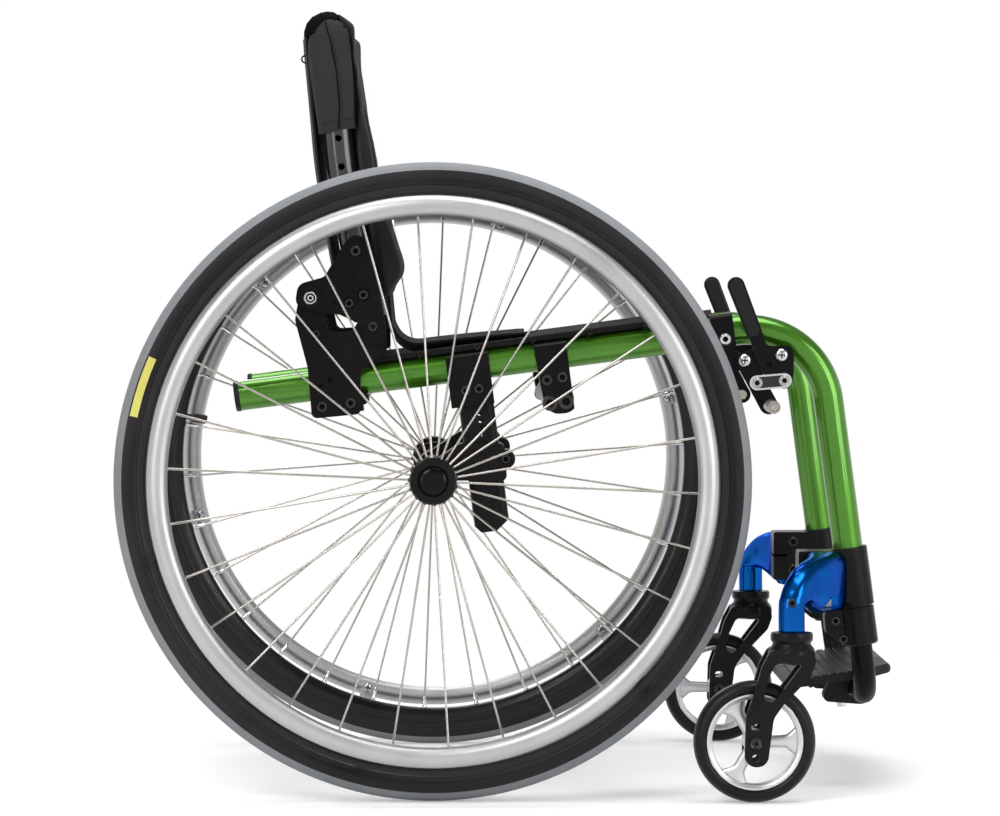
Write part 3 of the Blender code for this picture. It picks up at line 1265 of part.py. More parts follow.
def front_reach():
    """How far the footplate's toe edge lies ahead of the rear hub."""
    low = down_tube_point(FOOTREST_CROSS_HEIGHT)
    return AHEAD + low.x + FOOTPLATE_AHEAD * cos(FOOTPLATE_TILT) - FOOTPLATE_RISE * sin(FOOTPLATE_TILT)


clear_scene()
CHAIR = add_empty("chair", Matrix.Translation(((TYRE_RADIUS - front_reach()) / 2, 0, 0)))
RAIL_GROUP = add_empty("rail_group", Matrix.Translation((0, 0, LIFT)), CHAIR)
FRONT_GROUP = add_empty("front_group", Matrix.Translation((AHEAD, 0, 0)), CHAIR)
LOCK_GROUP = add_empty("lock_group", Matrix.Translation((AHEAD, 0, LIFT + AHEAD * tan(RAIL_SLOPE))), CHAIR)
add_side_frames()
add_stem_clamps_and_stems()
add_axle_blocks()
add_seat_supports()
add_rear_wheels()
add_casters()
add_footrest_collars()
add_footrest_loop()
add_footplate()
add_wheel_locks()
add_back_brackets()
add_canes()
add_release_bar()
add_seat()
add_back_upholstery()
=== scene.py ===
"""The wheelchair in its photograph's view: fine shapes, materials, light and camera.

Units are metres; the numbers given to tenths, shape and ring_solid, and those of a colour, are in
ten-thousandths. Shapes are drawn from the rear hub, as in the part, and moved into place.
"""
import bpy
import bmesh
from math import acos, asin, atan2, cos, hypot, pi, radians, sin, tan
from mathutils import Matrix, Vector
from mathutils.bvhtree import BVHTree
from mathutils.geometry import tessellate_polygon


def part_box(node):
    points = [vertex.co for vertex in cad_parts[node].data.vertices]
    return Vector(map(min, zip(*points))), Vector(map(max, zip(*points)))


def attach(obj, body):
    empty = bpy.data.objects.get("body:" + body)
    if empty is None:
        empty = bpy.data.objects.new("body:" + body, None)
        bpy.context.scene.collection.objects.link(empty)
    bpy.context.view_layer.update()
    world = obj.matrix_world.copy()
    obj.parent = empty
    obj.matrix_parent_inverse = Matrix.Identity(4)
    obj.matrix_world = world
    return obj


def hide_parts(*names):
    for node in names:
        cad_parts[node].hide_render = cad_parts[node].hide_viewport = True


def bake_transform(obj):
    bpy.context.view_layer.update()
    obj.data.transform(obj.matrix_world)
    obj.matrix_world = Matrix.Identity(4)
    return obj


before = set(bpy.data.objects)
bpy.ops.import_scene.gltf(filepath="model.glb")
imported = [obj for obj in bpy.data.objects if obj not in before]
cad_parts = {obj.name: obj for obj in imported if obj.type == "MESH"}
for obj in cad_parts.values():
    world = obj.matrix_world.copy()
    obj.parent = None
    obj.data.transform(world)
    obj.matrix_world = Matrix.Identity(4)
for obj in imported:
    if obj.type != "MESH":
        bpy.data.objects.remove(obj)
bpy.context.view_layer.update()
LOW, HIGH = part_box("rear_tyre_right")
HX = (LOW.x + HIGH.x) / 2
SIDES = {-1: "right", 1: "left"}
GAP = 0.0003

# Sizes that repeat the part's
CAMBER = radians(2.5)
HUB_Y = 0.2225
TYRE_RADIUS = 0.2985
HUB_Z = TYRE_RADIUS * cos(CAMBER)
SPOKES = 30
SPOKE_PHASE = {-1: radians(9.3), 1: radians(8.2)}
TABS = 6
TAB_PHASE = {-1: radians(16), 1: radians(46)}
RAIL_Y = 0.145
TUBE = 0.0143
TUBE_BORE = 0.0125
SEAT = TUBE + GAP
CLAMP_HALF = 0.0184
RAIL_SLOPE = radians(7.5)
LEAN = radians(7.6)
SLEEVE_Z = 0.2031
SLEEVE_HALF = 0.0279
CASTER_Y = 0.25
CASTER_X = 0.3335
CASTER_AXLE_X = 0.299
CASTER_AXLE_Z = 0.057
BACK_LEAN = radians(10.1)
RAIL_ALONG = Vector((cos(RAIL_SLOPE), 0, sin(RAIL_SLOPE)))
RAIL_UP = Vector((-sin(RAIL_SLOPE), 0, cos(RAIL_SLOPE)))
DOWN_ALONG = Vector((-sin(LEAN), 0, cos(LEAN)))
DOWN_FORWARD = Vector((cos(LEAN), 0, sin(LEAN)))
BACK_AWAY = Vector((cos(BACK_LEAN), 0, sin(BACK_LEAN)))
ACROSS = Vector((0, 1, 0))


# Places and rows of numbers

def rail_point(x, rise=0.0, y=0.0):
    return Vector((x, y, 0.4 + x * tan(RAIL_SLOPE))) + RAIL_UP * rise


def down_point(z, y=0.0):
    return Vector((0.3935 + (0.2495 - z) * tan(LEAN), y, z))


def stem_point(z, y=0.0):
    return Vector((0.0411 + (0.3664 - z) * tan(RAIL_SLOPE), y, z))


def cane_point(z, y=0.0):
    """The centre line of a cane, which stands more upright above its brackets."""
    low, bend, upright = tan(BACK_LEAN), 0.06, 0.09
    above = max(0, z - 0.56)
    curved = min(above, bend)
    x = -0.0876 + (0.5936 - min(z, 0.56)) * low
    x -= low * curved - (low - upright) * curved ** 2 / (2 * bend) + upright * (above - curved)
    return Vector((x, y, z))


def back_point(z, ahead, y):
    """A point square ahead of the canes' centre line."""
    return cane_point(z, y) + BACK_AWAY * ahead


def flat(point):
    return (point[0], point[-1])


def tenths(*values, columns=2):
    """Rows of sizes given in tenths of a millimetre."""
    sizes = [value / 10000 for value in values]
    return [tuple(sizes[i:i + columns]) for i in range(0, len(sizes), columns)]


def mirrored(half):
    """A turned profile from the half above its middle."""
    return half + [(r, -w) for r, w in reversed(half) if w]


def spaced(start, end, steps):
    return [start + (end - start) * i / steps for i in range(steps + 1)]


def angles(count, start=0.0):
    return [start + 2 * pi * k / count for k in range(count)]


def grown(value, start, length):
    """Zero up to a start, then growing to one over a length."""
    return max(0, (value - start) / length)


def arc(centre, radius, start, end, steps):
    return [(centre[0] + radius * cos(a), centre[1] + radius * sin(a)) for a in spaced(start, end, steps)]


def circle(centre, radius, sides=32):
    return arc(centre, radius, pi / sides, 2 * pi - pi / sides, sides - 1)


def rounded(corners, steps=6):
    """An outline whose corners (x, y, radius) are rounded."""
    outline = []
    for i, (x, y, radius) in enumerate(corners):
        here = Vector((x, y))
        if radius <= 0:
            outline.append((x, y))
            continue
        back = (Vector(corners[i - 1][:2]) - here).normalized()
        ahead = (Vector(corners[(i + 1) % len(corners)][:2]) - here).normalized()
        half = acos(max(-1, min(1, back.dot(ahead)))) / 2
        centre = here + (back + ahead).normalized() * (radius / sin(half))
        first = here + back * (radius / tan(half)) - centre
        last = here + ahead * (radius / tan(half)) - centre
        start = atan2(first.y, first.x)
        turn = (atan2(last.y, last.x) - start + pi) % (2 * pi) - pi
        outline += arc(centre, radius, start, start + turn, steps)
    return outline


def shape(*values, steps=6, at=(0, 0)):
    """A rounded outline from its corners' x, y and radius in tenths of a millimetre."""
    return rounded([(at[0] + x, at[1] + y, r) for x, y, r in tenths(*values, columns=3)], steps)


def belt(circles, sides=32):
    """The outline that wraps a set of circles (x, y, radius), like a belt."""
    points = sorted({p for x, y, r in circles for p in circle((x, y), r, sides)})

    def half(ordered):
        chain = []
        for c in ordered:
            while len(chain) > 1:
                a, b = chain[-2:]
                if (b[0] - a[0]) * (c[1] - a[1]) - (b[1] - a[1]) * (c[0] - a[0]) > 1e-10:
                    break
                chain.pop()
            chain.append(c)
        return chain[:-1]
    return half(points) + half(points[::-1])


# Solids

def mesh_of(solid, name="step"):
    mesh = bpy.data.meshes.new(name)
    solid.to_mesh(mesh)
    solid.free()
    return mesh


def placed(name, data):
    item = bpy.data.objects.new(name, data)
    bpy.context.collection.objects.link(item)
    return item


def loft(rings, closed=False):
    solid = bmesh.new()
    loops = [[solid.verts.new(p) for p in points] for points in rings]
    count = len(loops[0])
    for low, high in zip(loops, loops[1:] + (loops[:1] if closed else [])):
        for i in range(count):
            j = (i + 1) % count
            solid.faces.new((low[i], low[j], high[j], high[i]))
    if not closed:
        solid.faces.new(loops[0])
        solid.faces.new(loops[-1])
    bmesh.ops.recalc_face_normals(solid, faces=solid.faces)
    return solid


def turned(profile, place=None, sides=40, closed=False):
    """A solid of revolution about Z from (radius, height) pairs."""
    solid = loft([[Vector((x, y, height)) for x, y in circle((0, 0), radius, sides)]
                  for radius, height in profile], closed)
    if place:
        solid.transform(place)
    return solid


def swept(path, radius, sides=28, bore=0.0):
    """A bar or tube along a path that lies in a plane; radius may be a list."""
    points = [Vector(p) for p in path]
    last = len(points) - 1
    normal = (points[last] - points[0]).cross(points[last // 2] - points[0])
    if normal.length < 1e-9:
        normal = (points[last] - points[0]).orthogonal()
    normal.normalize()

    def rings_of(size):
        rings = []
        for i, point in enumerate(points):
            tangent = (points[min(i + 1, last)] - points[max(i - 1, 0)]).normalized()
            side = normal.cross(tangent)
            here = size[i] if isinstance(size, list) else size
            rings.append([point + normal * a + side * b for a, b in circle((0, 0), here, sides)])
        return rings
    if not bore:
        return loft(rings_of(radius))
    return loft(rings_of(radius) + rings_of(bore)[::-1], closed=True)


def prism(outline, low, high, spot, holes=()):
    loops = [outline, *holes]
    triangles = tessellate_polygon([[Vector((u, v, 0)) for u, v in loop] for loop in loops])
    points = [point for loop in loops for point in loop]
    solid = bmesh.new()
    bottom = [solid.verts.new(spot(u, v, low)) for u, v in points]
    top = [solid.verts.new(spot(u, v, high)) for u, v in points]
    for corners in triangles:
        solid.faces.new([bottom[i] for i in corners])
        solid.faces.new([top[i] for i in reversed(corners)])
    start = 0
    for loop in loops:
        for i in range(len(loop)):
            a, b = start + i, start + (i + 1) % len(loop)
            solid.faces.new((bottom[a], bottom[b], top[b], top[a]))
        start += len(loop)
    bmesh.ops.recalc_face_normals(solid, faces=solid.faces)
    return solid


def along_axes(origin, *axes):
    """The spot function of a prism whose u, v and w follow these axes."""
    return lambda *sizes: sum((axis * size for axis, size in zip(axes, sizes)), origin)


def side_plate(outline, inner, outer, holes=()):
    return prism(outline, inner, outer, lambda x, z, y: Vector((x, y, z)), holes)


def cross_pin(centre, radius, inner, outer, sides=32):
    return side_plate(circle(centre, radius, sides), inner, outer)


def combined(base, tool, operation):
    items = [placed("step", mesh_of(solid)) for solid in (base, tool)]
    step = items[0].modifiers.new("combine", "BOOLEAN")
    step.operation = operation
    step.solver = "EXACT"
    step.object = items[1]
    result = bmesh.new()
    result.from_object(items[0], bpy.context.evaluated_depsgraph_get())
    for item in items:
        mesh = item.data
        bpy.data.objects.remove(item)
        bpy.data.meshes.remove(mesh)
    return result


def fused(base, *tools):
    for tool in tools:
        base = combined(base, tool, "UNION")
    return base


def cut(base, *tools):
    for tool in tools:
        base = combined(base, tool, "DIFFERENCE")
    return base


def joined(solids):
    result = bmesh.new()
    for solid in solids:
        mesh = mesh_of(solid)
        result.from_mesh(mesh)
        bpy.data.meshes.remove(mesh)
    return result


def frame_of(*columns):
    """A placing matrix from its across, up, out and origin."""
    return Matrix([[column[i] for column in columns] for i in range(3)] + [[0, 0, 0, 1]])


def wheel_place(side):
    out = Vector((0, side * cos(CAMBER), sin(CAMBER)))
    up = Vector((0, -side * sin(CAMBER), cos(CAMBER)))
    return frame_of(up.cross(out), up, out, (0, side * HUB_Y, HUB_Z))


def down_place(centre):
    return frame_of(DOWN_FORWARD, DOWN_ALONG.cross(DOWN_FORWARD), DOWN_ALONG, centre)


def facing(out, origin):
    """A frame whose Z points along out."""
    out = Vector(out).normalized()
    up = Vector((0, 0, 1)) if abs(out.z) < 0.9 else Vector((1, 0, 0))
    across = up.cross(out).normalized()
    return frame_of(across, out.cross(across), out, origin)


def sideways(x, z, y=0.0):
    return facing(ACROSS, (x, y, z))


def screw(place, radius, height, recess="hex", washer=0.0):
    """A screw head on a face: place's Z points out of the face."""
    sides = 36
    foot = -0.0004

    def ring(size, level, shaped=False):
        points = []
        for k in range(sides):
            a = 2 * pi * (k + 0.5) / sides
            r = size
            if shaped and recess == "hex":
                r = size * cos(pi / 6) / cos(a % (pi / 3) - pi / 6)
            elif shaped and abs((a + pi / 12) % (pi / 2) - pi / 12) >= pi / 11:
                r = 0.34 * size
            points.append(Vector((r * cos(a), r * sin(a), level)))
        return points
    if recess == "hex":
        steps = [(1, 0.75), (0.9, 1), (0.58, 1), (0.54, 0.05)]
    else:
        steps = [(1, 0.25), (0.88, 0.68), (0.66, 0.94), (0.56, 1), (0.4, 0.05)]
    rings = [ring(washer, foot), ring(washer, 0.0006)] if washer else []
    rings.append(ring(radius, foot))
    for i, (wide, high) in enumerate(steps):
        rings.append(ring(wide * radius, high * height, i >= len(steps) - 2))
    solid = loft(rings)
    # The recess's floor is marked for the painted recess shade, a near-black colour standing in for the
    # shade inside it.
    for face in solid.faces:
        sunk = [vert.co for vert in face.verts]
        if max(hypot(c.x, c.y) for c in sunk) < 0.6 * radius and min(c.z for c in sunk) < 0.5 * height:
            face.material_index = 1
    solid.transform(place)
    return solid


def side_screws(spots, face, radius, height, recess="hex", washer=0.0):
    """Screw heads on a plate's outer face at given (x, z) places, on the left side."""
    return joined([screw(sideways(x, z, face), radius, height, recess, washer) for x, z in spots])


# Materials

class Nodes:
    """A short way to write a node tree."""

    def __init__(self, tree):
        self.tree = tree

    def add(self, kind, inputs=None, **settings):
        node = self.tree.nodes.new(kind)
        for key, value in settings.items():
            setattr(node, key, value)
        for key, value in (inputs or {}).items():
            if isinstance(value, bpy.types.NodeSocket):
                self.tree.links.new(value, node.inputs[key])
            else:
                node.inputs[key].default_value = value
        return node

    def math(self, operation, a, b=0.0):
        return self.add("ShaderNodeMath", {0: a, 1: b}, operation=operation).outputs[0]

    def mix(self, factor, a, b):
        a, b = [(*colour, 1) if isinstance(colour, tuple) else colour for colour in (a, b)]
        return self.add("ShaderNodeMix", {0: factor, 6: a, 7: b}, data_type="RGBA").outputs[2]

    def spread(self, value, low, high, first=0.0, last=1.0, **settings):
        return self.add("ShaderNodeMapRange", {"Value": value, "From Min": low, "From Max": high,
                                               "To Min": first, "To Max": last}, **settings).outputs[0]

    def place(self, kind="Object"):
        return self.add("ShaderNodeTexCoord").outputs[kind]

    def seen(self):
        """One for rays that come from the eye, straight, off a gloss or through glass."""
        path = self.add("ShaderNodeLightPath").outputs
        both = self.math("ADD", path["Is Camera Ray"], path["Is Glossy Ray"])
        return self.math("MINIMUM", self.math("ADD", both, path["Is Transmission Ray"]), 1.0)


INPUTS = {"specular": "Specular IOR Level", "tint": "Specular Tint", "coat": "Coat Weight",
          "coat_roughness": "Coat Roughness", "sheen": "Sheen Weight", "sheen_roughness": "Sheen Roughness"}


def finish(name, slot, colour, roughness, metallic=0.0, second=None, patch=18, grain=700, bump=0.03,
           spread=0.08, flake=0.0, weave=0.0, **extras):
    """A procedural surface: patchy colour, uneven gloss and a fine relief."""
    material = bpy.data.materials.new(name)
    material.use_nodes = True
    tree = material.node_tree
    shader = tree.nodes["Principled BSDF"]
    n = Nodes(tree)
    place = n.place()
    noises = [n.add("ShaderNodeTexNoise", {"Vector": place, "Scale": scale, "Detail": detail})
              for scale, detail in ((patch, 4.0), (grain, 3.0))]
    cloud, fine = [noise.outputs["Fac"] for noise in noises]

    def changed(share, more=0.0):
        return tuple(min(1, c / 10000 * share + more) for c in colour)
    colours = changed(1), tuple(c / 10000 for c in second) if second else changed(1.35, 0.002)
    tone = n.mix(n.spread(cloud, 0.35, 0.65), *colours)
    relief = fine
    if flake:
        cells = n.add("ShaderNodeTexVoronoi", {"Vector": place, "Scale": 1500.0}).outputs["Color"]
        spark = n.add("ShaderNodeSeparateColor", {0: cells}).outputs[0]
        bright = n.math("MULTIPLY", n.math("GREATER_THAN", spark, 0.72), flake)
        tone = n.mix(bright, tone, changed(2.2, 0.05))
    if weave:
        waves = []
        for direction in ((0.707, 0.05, 0.707), (0.36, 0.86, -0.36)):
            along = n.add("ShaderNodeVectorMath", {0: place, 1: direction}, operation="DOT_PRODUCT")
            waves.append(n.math("SINE", n.math("MULTIPLY", along.outputs["Value"], 2 * pi / weave)))
        thread = n.math("MAXIMUM", waves[0], n.math("MULTIPLY", waves[1], -1.0))
        thread = n.math("ADD", n.math("MULTIPLY", thread, 0.5), 0.5)
        tone = n.mix(thread, changed(0.72), tone)
        relief = n.math("ADD", n.math("MULTIPLY", fine, 0.5), thread)
    tree.links.new(tone, shader.inputs["Base Color"])
    gloss = n.spread(cloud, 0.3, 0.7, max(0.02, roughness - spread), roughness + spread)
    tree.links.new(gloss, shader.inputs["Roughness"])
    shader.inputs["Metallic"].default_value = metallic
    if bump:
        node = n.add("ShaderNodeBump", {"Height": relief, "Strength": bump, "Distance": 0.0004})
        tree.links.new(node.outputs[0], shader.inputs["Normal"])
    for key, value in extras.items():
        shader.inputs[INPUTS[key]].default_value = value
    return material


GREEN = finish("green metallic paint", "green_paint", (600, 2080, 110), 0.25, 0.66, (700, 2280, 140),
               grain=1600, bump=0.004, spread=0.02, flake=0.06, specular=0.25, coat=0.55,
               coat_roughness=0.04)
BLUE = finish("blue anodised metal", "blue_anodised", (10, 800, 3400), 0.20, 1.0, (20, 1100, 4400),
              grain=1400, bump=0.01, spread=0.03, tint=(0.06, 0.42, 0.80, 1.0), coat=0.08,
              coat_roughness=0.04)
BLACK = finish("satin black metal", "black_satin", (58, 48, 53), 0.32, 0.0, (84, 72, 78),
               grain=1200, bump=0.05, specular=0.08)
CASTING = finish("satin black casting", "black_satin", (62, 54, 57), 0.30, 0.0, (90, 80, 84),
                 grain=600, bump=0.07, specular=0.13)
CANE = finish("polished black tube", "black_satin", (100, 90, 95), 0.22, 0.0, (130, 120, 125),
              grain=1200, bump=0.02, spread=0.03, specular=0.50, coat=0.42, coat_roughness=0.20)
PLASTIC = finish("black moulding", "footplate_black", (125, 112, 114), 0.44, 0.0, (180, 162, 164),
                 grain=900, bump=0.10, specular=0.17)
GLOSS = finish("gloss black", "rim_black", (60, 50, 54), 0.30, 0.0, (90, 80, 84),
               grain=300, bump=0.01, spread=0.05, specular=0.30, coat=0.15, coat_roughness=0.12)
DOME = finish("glossy button", "button_black", (30, 28, 30), 0.08, grain=200, bump=0.0,
              spread=0.02, specular=0.10, coat=0.05, coat_roughness=0.02)
# Painted shade: a near-black colour for the floors of screw recesses and the release rod's hollow end,
# standing in for the shade inside them.
RECESS_SHADE = finish("painted recess shade", "black_satin", (30, 26, 28), 0.60, grain=900, bump=0.02, specular=0.05)
GRIP = finish("dipped grip", "grip_black", (60, 50, 52), 0.24, 0.0, (90, 78, 80),
              grain=240, bump=0.04, specular=0.16, coat=0.16, coat_roughness=0.06)
TREAD = finish("grey rubber", "tyre_grey", (2200, 2320, 2460), 0.62, 0.0, (2550, 2660, 2800),
               grain=500, bump=0.10, specular=0.17)
WALL = finish("black rubber", "tyre_grey", (165, 142, 152), 0.50, 0.0, (225, 200, 210),
              grain=420, bump=0.12, specular=0.17)
CASTER_RUBBER = finish("caster rubber", "tyre_black", (75, 68, 70), 0.36, 0.0, (110, 102, 105),
                       grain=420, bump=0.05, specular=0.17)
SILVER = finish("satin anodised metal", "satin_silver", (4550, 4500, 4530), 0.44, 1.0, (5000, 4950, 4980),
                grain=2200, bump=0.02, spread=0.04)
CAST_SILVER = finish("painted silver", "satin_silver", (6000, 6000, 6050), 0.36, 0.80, (6500, 6500, 6550),
                     grain=900, bump=0.03, spread=0.05)
STEEL = finish("stainless wire", "stainless_steel", (4300, 4000, 3600), 0.22, 1.0, (5000, 4700, 4300),
               grain=2600, bump=0.02, spread=0.05)
ZINC = finish("zinc plate", "zinc_plate", (5600, 5900, 6100), 0.15, 1.0, (6400, 6550, 6500),
              grain=1500, bump=0.03, spread=0.05)
OXIDE = finish("black oxide", "black_satin", (340, 310, 310), 0.26, 0.8, (500, 470, 470),
               grain=1500, bump=0.02, spread=0.05)
FABRIC = finish("woven black fabric", "black_fabric", (150, 128, 148), 0.86, 0.0, (215, 190, 212), patch=9,
                grain=900, bump=0.35, spread=0.05, weave=0.0011, specular=0.20, sheen=0.10,
                sheen_roughness=0.45)
# Painted shade: the back's fabric made darker for the seat, its edge binding and the flap, because their
# sides lie in shadow.
SHADED_SEAT_FABRIC = finish("woven seat cloth with painted shade", "black_fabric", (80, 67, 78), 0.84, 0.0, (118, 102, 116), patch=9,
                 grain=900, bump=0.35, spread=0.05, weave=0.0011, specular=0.16, sheen=0.04,
                 sheen_roughness=0.45)
PANEL = finish("stretch side panel", "black_fabric", (270, 232, 266), 0.80, 0.0, (350, 305, 345), patch=14,
               grain=900, bump=0.30, spread=0.05, weave=0.0008, specular=0.20, sheen=0.12,
               sheen_roughness=0.4)
TRIM = finish("binding tape", "black_fabric", (20, 17, 20), 0.70, patch=20, bump=0.30, spread=0.06,
              weave=0.0016, specular=0.04)
THREAD = finish("black thread", "black_fabric", (50, 46, 50), 0.55, grain=2500, bump=0.2, specular=0.17)
LABEL = finish("plain yellow label", "tyre_grey", (7000, 6500, 1400), 0.42, 0.0, (7400, 6900, 1800),
               grain=500, bump=0.02)


# Adding pieces

def add(name, solid, material, stands_for=(), body="frame", bevel=0.0, smooth=32, choose=None):
    """One piece in the row frame, riding on a body; choose picks a material by face."""
    bmesh.ops.remove_doubles(solid, verts=solid.verts, dist=1e-6)
    bmesh.ops.recalc_face_normals(solid, faces=solid.faces)
    solid.transform(Matrix.Translation((HX, 0, 0)))
    materials = material if isinstance(material, list) else [material]
    if choose:
        for face in solid.faces:
            face.material_index = choose(face)
    # Faces marked 1 are recess floors, which take the painted recess shade.
    elif any(face.material_index for face in solid.faces):
        materials = [material, RECESS_SHADE]
    mesh = mesh_of(solid, name)
    for item in materials:
        mesh.materials.append(item)
    mesh.shade_smooth()
    mesh.set_sharp_from_angle(angle=radians(smooth))
    piece = placed(name, mesh)
    if bevel:
        step = piece.modifiers.new("edges", "BEVEL")
        step.width = bevel
        step.segments = 2
        step.limit_method = "ANGLE"
        step.angle_limit = radians(38)
        step.harden_normals = True
    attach(piece, body)
    if stands_for:
        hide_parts(*stands_for)
    return piece


def sided(node, word):
    return [f"{node}_{word}"] if node else ()


def add_pair(name, solid, material, node="", body="frame", **options):
    """A left piece and its mirror image; node and the braces in body take the side's word."""
    mesh = mesh_of(solid)
    made = []
    for side, word in SIDES.items():
        copy = bmesh.new()
        copy.from_mesh(mesh)
        if side < 0:
            bmesh.ops.scale(copy, verts=copy.verts, vec=(1, -1, 1))
            bmesh.ops.reverse_faces(copy, faces=copy.faces)
        made.append(add(f"{name}_{word}", copy, material, sided(node, word), body.format(word), **options))
    bpy.data.meshes.remove(mesh)
    return made


# Rear wheels

def ring_solid(place, sides, *half):
    """A closed ring from half of its profile, in tenths of a millimetre."""
    return turned(mirrored(tenths(*half)), place, sides, closed=True)


def handrim(side, place):
    ring = turned([(0.255 + 0.00975 * cos(a), 0.045 + 0.00975 * sin(a)) for a in angles(24)], place, 180,
                  closed=True)
    outline = shape(2475, 352, 10, 2475, 330, 10, 2590, 330, 30, 2622, 50, 0, 2652, 68, 0, 2632, 352, 40,
                    steps=3)
    tabs, screws = [], []
    for a in angles(TABS, TAB_PHASE[side]):
        turn = place @ Matrix.Rotation(a, 4, "Z")
        tabs.append(prism(outline, -0.0062, 0.0062, lambda r, w, t: Vector((r, t, w))))
        tabs[-1].transform(turn)
        spot = turn @ Matrix.Translation((0.254, 0, 0.033)) @ Matrix.Rotation(pi, 4, "X")
        screws.append(screw(spot, 0.0042, 0.0022, "cross", 0.005))
    return ring, joined(tabs), joined(screws)


def spokes(side, place):
    """The wires, their nipples at the rim and their ferrules at the hub's flanges."""
    wires, nipples, ferrules = [], [], []
    for k, a in enumerate(angles(SPOKES, SPOKE_PHASE[side])):
        face, end = (1, 0.0219) if k % 2 else (-1, 0.0236)
        inner, outer = Vector((0.0185, 0, face * 0.023)), Vector((0.2605, 0, face * 0.0012))
        along = (outer - inner).normalized()
        for made, path, size in (
                (wires, [inner, inner + along * 0.02, outer - along * 0.02, outer], 0.00108),
                (nipples, [outer - along * d for d in (0.0125, 0.012, 0.0015)] + [outer],
                 [0.00135, 0.0019, 0.002, 0.003]),
                (ferrules, [(0.019, 0, face * 0.0229), (end - 0.0008, 0, face * 0.0226),
                            (end, 0, face * 0.0225)], [0.0021, 0.0021, 0.0015])):
            made.append(swept(path, size, sides=10))
            made[-1].transform(place @ Matrix.Rotation(a, 4, "Z"))
    return joined(wires), joined(nipples), joined(ferrules)


def add_rear_wheel(side, word):
    place = wheel_place(side)
    inverse = (Matrix.Translation((HX, 0, 0)) @ place).inverted()
    tread_edge = 0.2903

    def zone(face):
        spot = inverse @ face.calc_center_median()
        return 0 if hypot(spot.x, spot.y) > tread_edge else 1

    def put(name, solid, material, node="", body="wheel", **options):
        add(f"{name}_{word}", solid, material, sided(node, word), f"{body}_{word}", **options)
    tyre = ring_solid(place, 180, 2985, 0, 2982, 32, 2972, 62, 2954, 88, 2930, 106, 2904, 117, 2902, 118,
                      2872, 124.5, 2840, 125, 2812, 121, 2808, 117, 2804, 120, 2786, 115, 2776, 106,
                      2768, 100)
    put("tyre", tyre, [TREAD, WALL], "rear_tyre", smooth=50, choose=zone)
    put("rim", ring_solid(place, 180, 2612, 0, 2613, 30, 2622, 46, 2650, 66, 2684, 86, 2700, 90, 2746, 90,
                          2752, 95, 2765, 95, 2765, 80), GLOSS, "rear_rim")
    ring, tabs, screws = handrim(side, place)
    put("push_ring", ring, SILVER, "handrim", smooth=60)
    put("push_ring_tabs", tabs, SILVER, bevel=0.0003)
    put("push_ring_screws", screws, ZINC)
    wires, nipples, ferrules = spokes(side, place)
    put("spokes", wires, STEEL, "hub_and_spokes", smooth=60)
    put("nipples", nipples, ZINC)
    hub = tenths(66, -330, 118, -330, 125, -322, 128, -265, 198, -250, 206, -240, 206, -218, 198, -208,
                 140, -190, 135, -160, 135, 160, 142, 190, 210, 208, 221, 220, 221, 352, 212, 372,
                 196, 378, 146, 375, 139, 366, 138, 300, 66, 300)
    put("hub", turned(hub, place, 64, closed=True), CASTING, smooth=28)
    put("hub_ferrules", ferrules, OXIDE)
    angle, inner = (10, 0.24) if side > 0 else (190, 0.248)
    valve = turned(tenths(30, 2630, 30, 2545, 46, 2540) + [(0.0046, inner + 0.0015), (0.0036, inner)],
                   place @ Matrix.Rotation(radians(angle), 4, "Z") @ Matrix.Rotation(pi / 2, 4, "Y"), 20)
    put("valve", valve, PLASTIC)
    shaft = tenths(48, -785, 63.5, -770, 63.5, 303, 85, 303, 85, 322, 78, 330, 38, 330, 38, 80)
    add(f"axle_shaft_{word}", turned(shaft, place), STEEL, [f"axle_{word}"])
    back = 0.033 + 0.0035 + GAP
    dome = [(0.0128 * cos(a), back + 0.001 + 0.0032 * sin(a)) for a in [radians(10 * k) for k in range(9)]]
    button = turned([(0.0034, 0.013), (0.0034, back), (0.0122, back), (0.0128, back + 0.0005), *dome,
                     (0.0006, back + 0.0042)], place, 48)
    put("button", button, DOME, "axle_button", "button", smooth=50)


def add_label():
    """The bare label on the right tyre's side wall."""
    profile = tenths(2889, 120, 2889, 123.5, 2870, 126.6, 2850, 127.2, 2830, 126.6, 2815, 123.6, 2815, 119)
    middle, length, steps = radians(162), radians(11.6), 24
    rings = []
    for i in range(steps + 1):
        a = middle + length * (i / steps - 0.5)
        rings.append([wheel_place(-1) @ Vector((r * cos(a), r * sin(a), w)) for r, w in profile])
    add("tyre_label", loft(rings), LABEL, body="wheel_right", smooth=60)


# Frame tubes and what clamps on them

def add_side_frames():
    corner_x = 0.3935 + (0.2495 - 0.4) * tan(LEAN)
    corner = rail_point(corner_x / (1 + tan(RAIL_SLOPE) * tan(LEAN)))
    end = rail_point(-0.184, y=RAIL_Y)
    outline = rounded([(*flat(end), 0), (*flat(corner), 0.078), (*flat(down_point(0.152)), 0)], 40)
    path = [(x, RAIL_Y, z) for x, z in outline]
    add_pair("frame_tube", swept(path, TUBE, 48, TUBE_BORE), GREEN, "side_frame", smooth=45)
    place = frame_of(ACROSS, RAIL_ALONG.cross(ACROSS), RAIL_ALONG, end)
    profile = tenths(118, 160, 120, -3, 147, -3, 147, -36, 142, -46, 132, -50, 90, -50, 86, -46)
    add_pair("end_plug", turned(profile, place, 48), PLASTIC, "rail_end_cap")


def cradle(x, length, drop, slot_half, slot_top):
    """A clamp that sits on the rail and is slotted from below."""
    half, shoulder, top = CLAMP_HALF, 0.0022, 0.0118
    start = asin(top / SEAT)
    right = [(half - shoulder, top), (half, top - shoulder), (half, -drop), (slot_half, -drop),
             (slot_half, -slot_top)]
    outline = right + [(-u, v) for u, v in reversed(right)]
    outline += arc((0, 0), SEAT, pi - start, 2 * pi + start, 28)
    spot = along_axes(rail_point(x, y=RAIL_Y), ACROSS, RAIL_UP, RAIL_ALONG)
    return prism(outline, -length / 2, length / 2, spot)


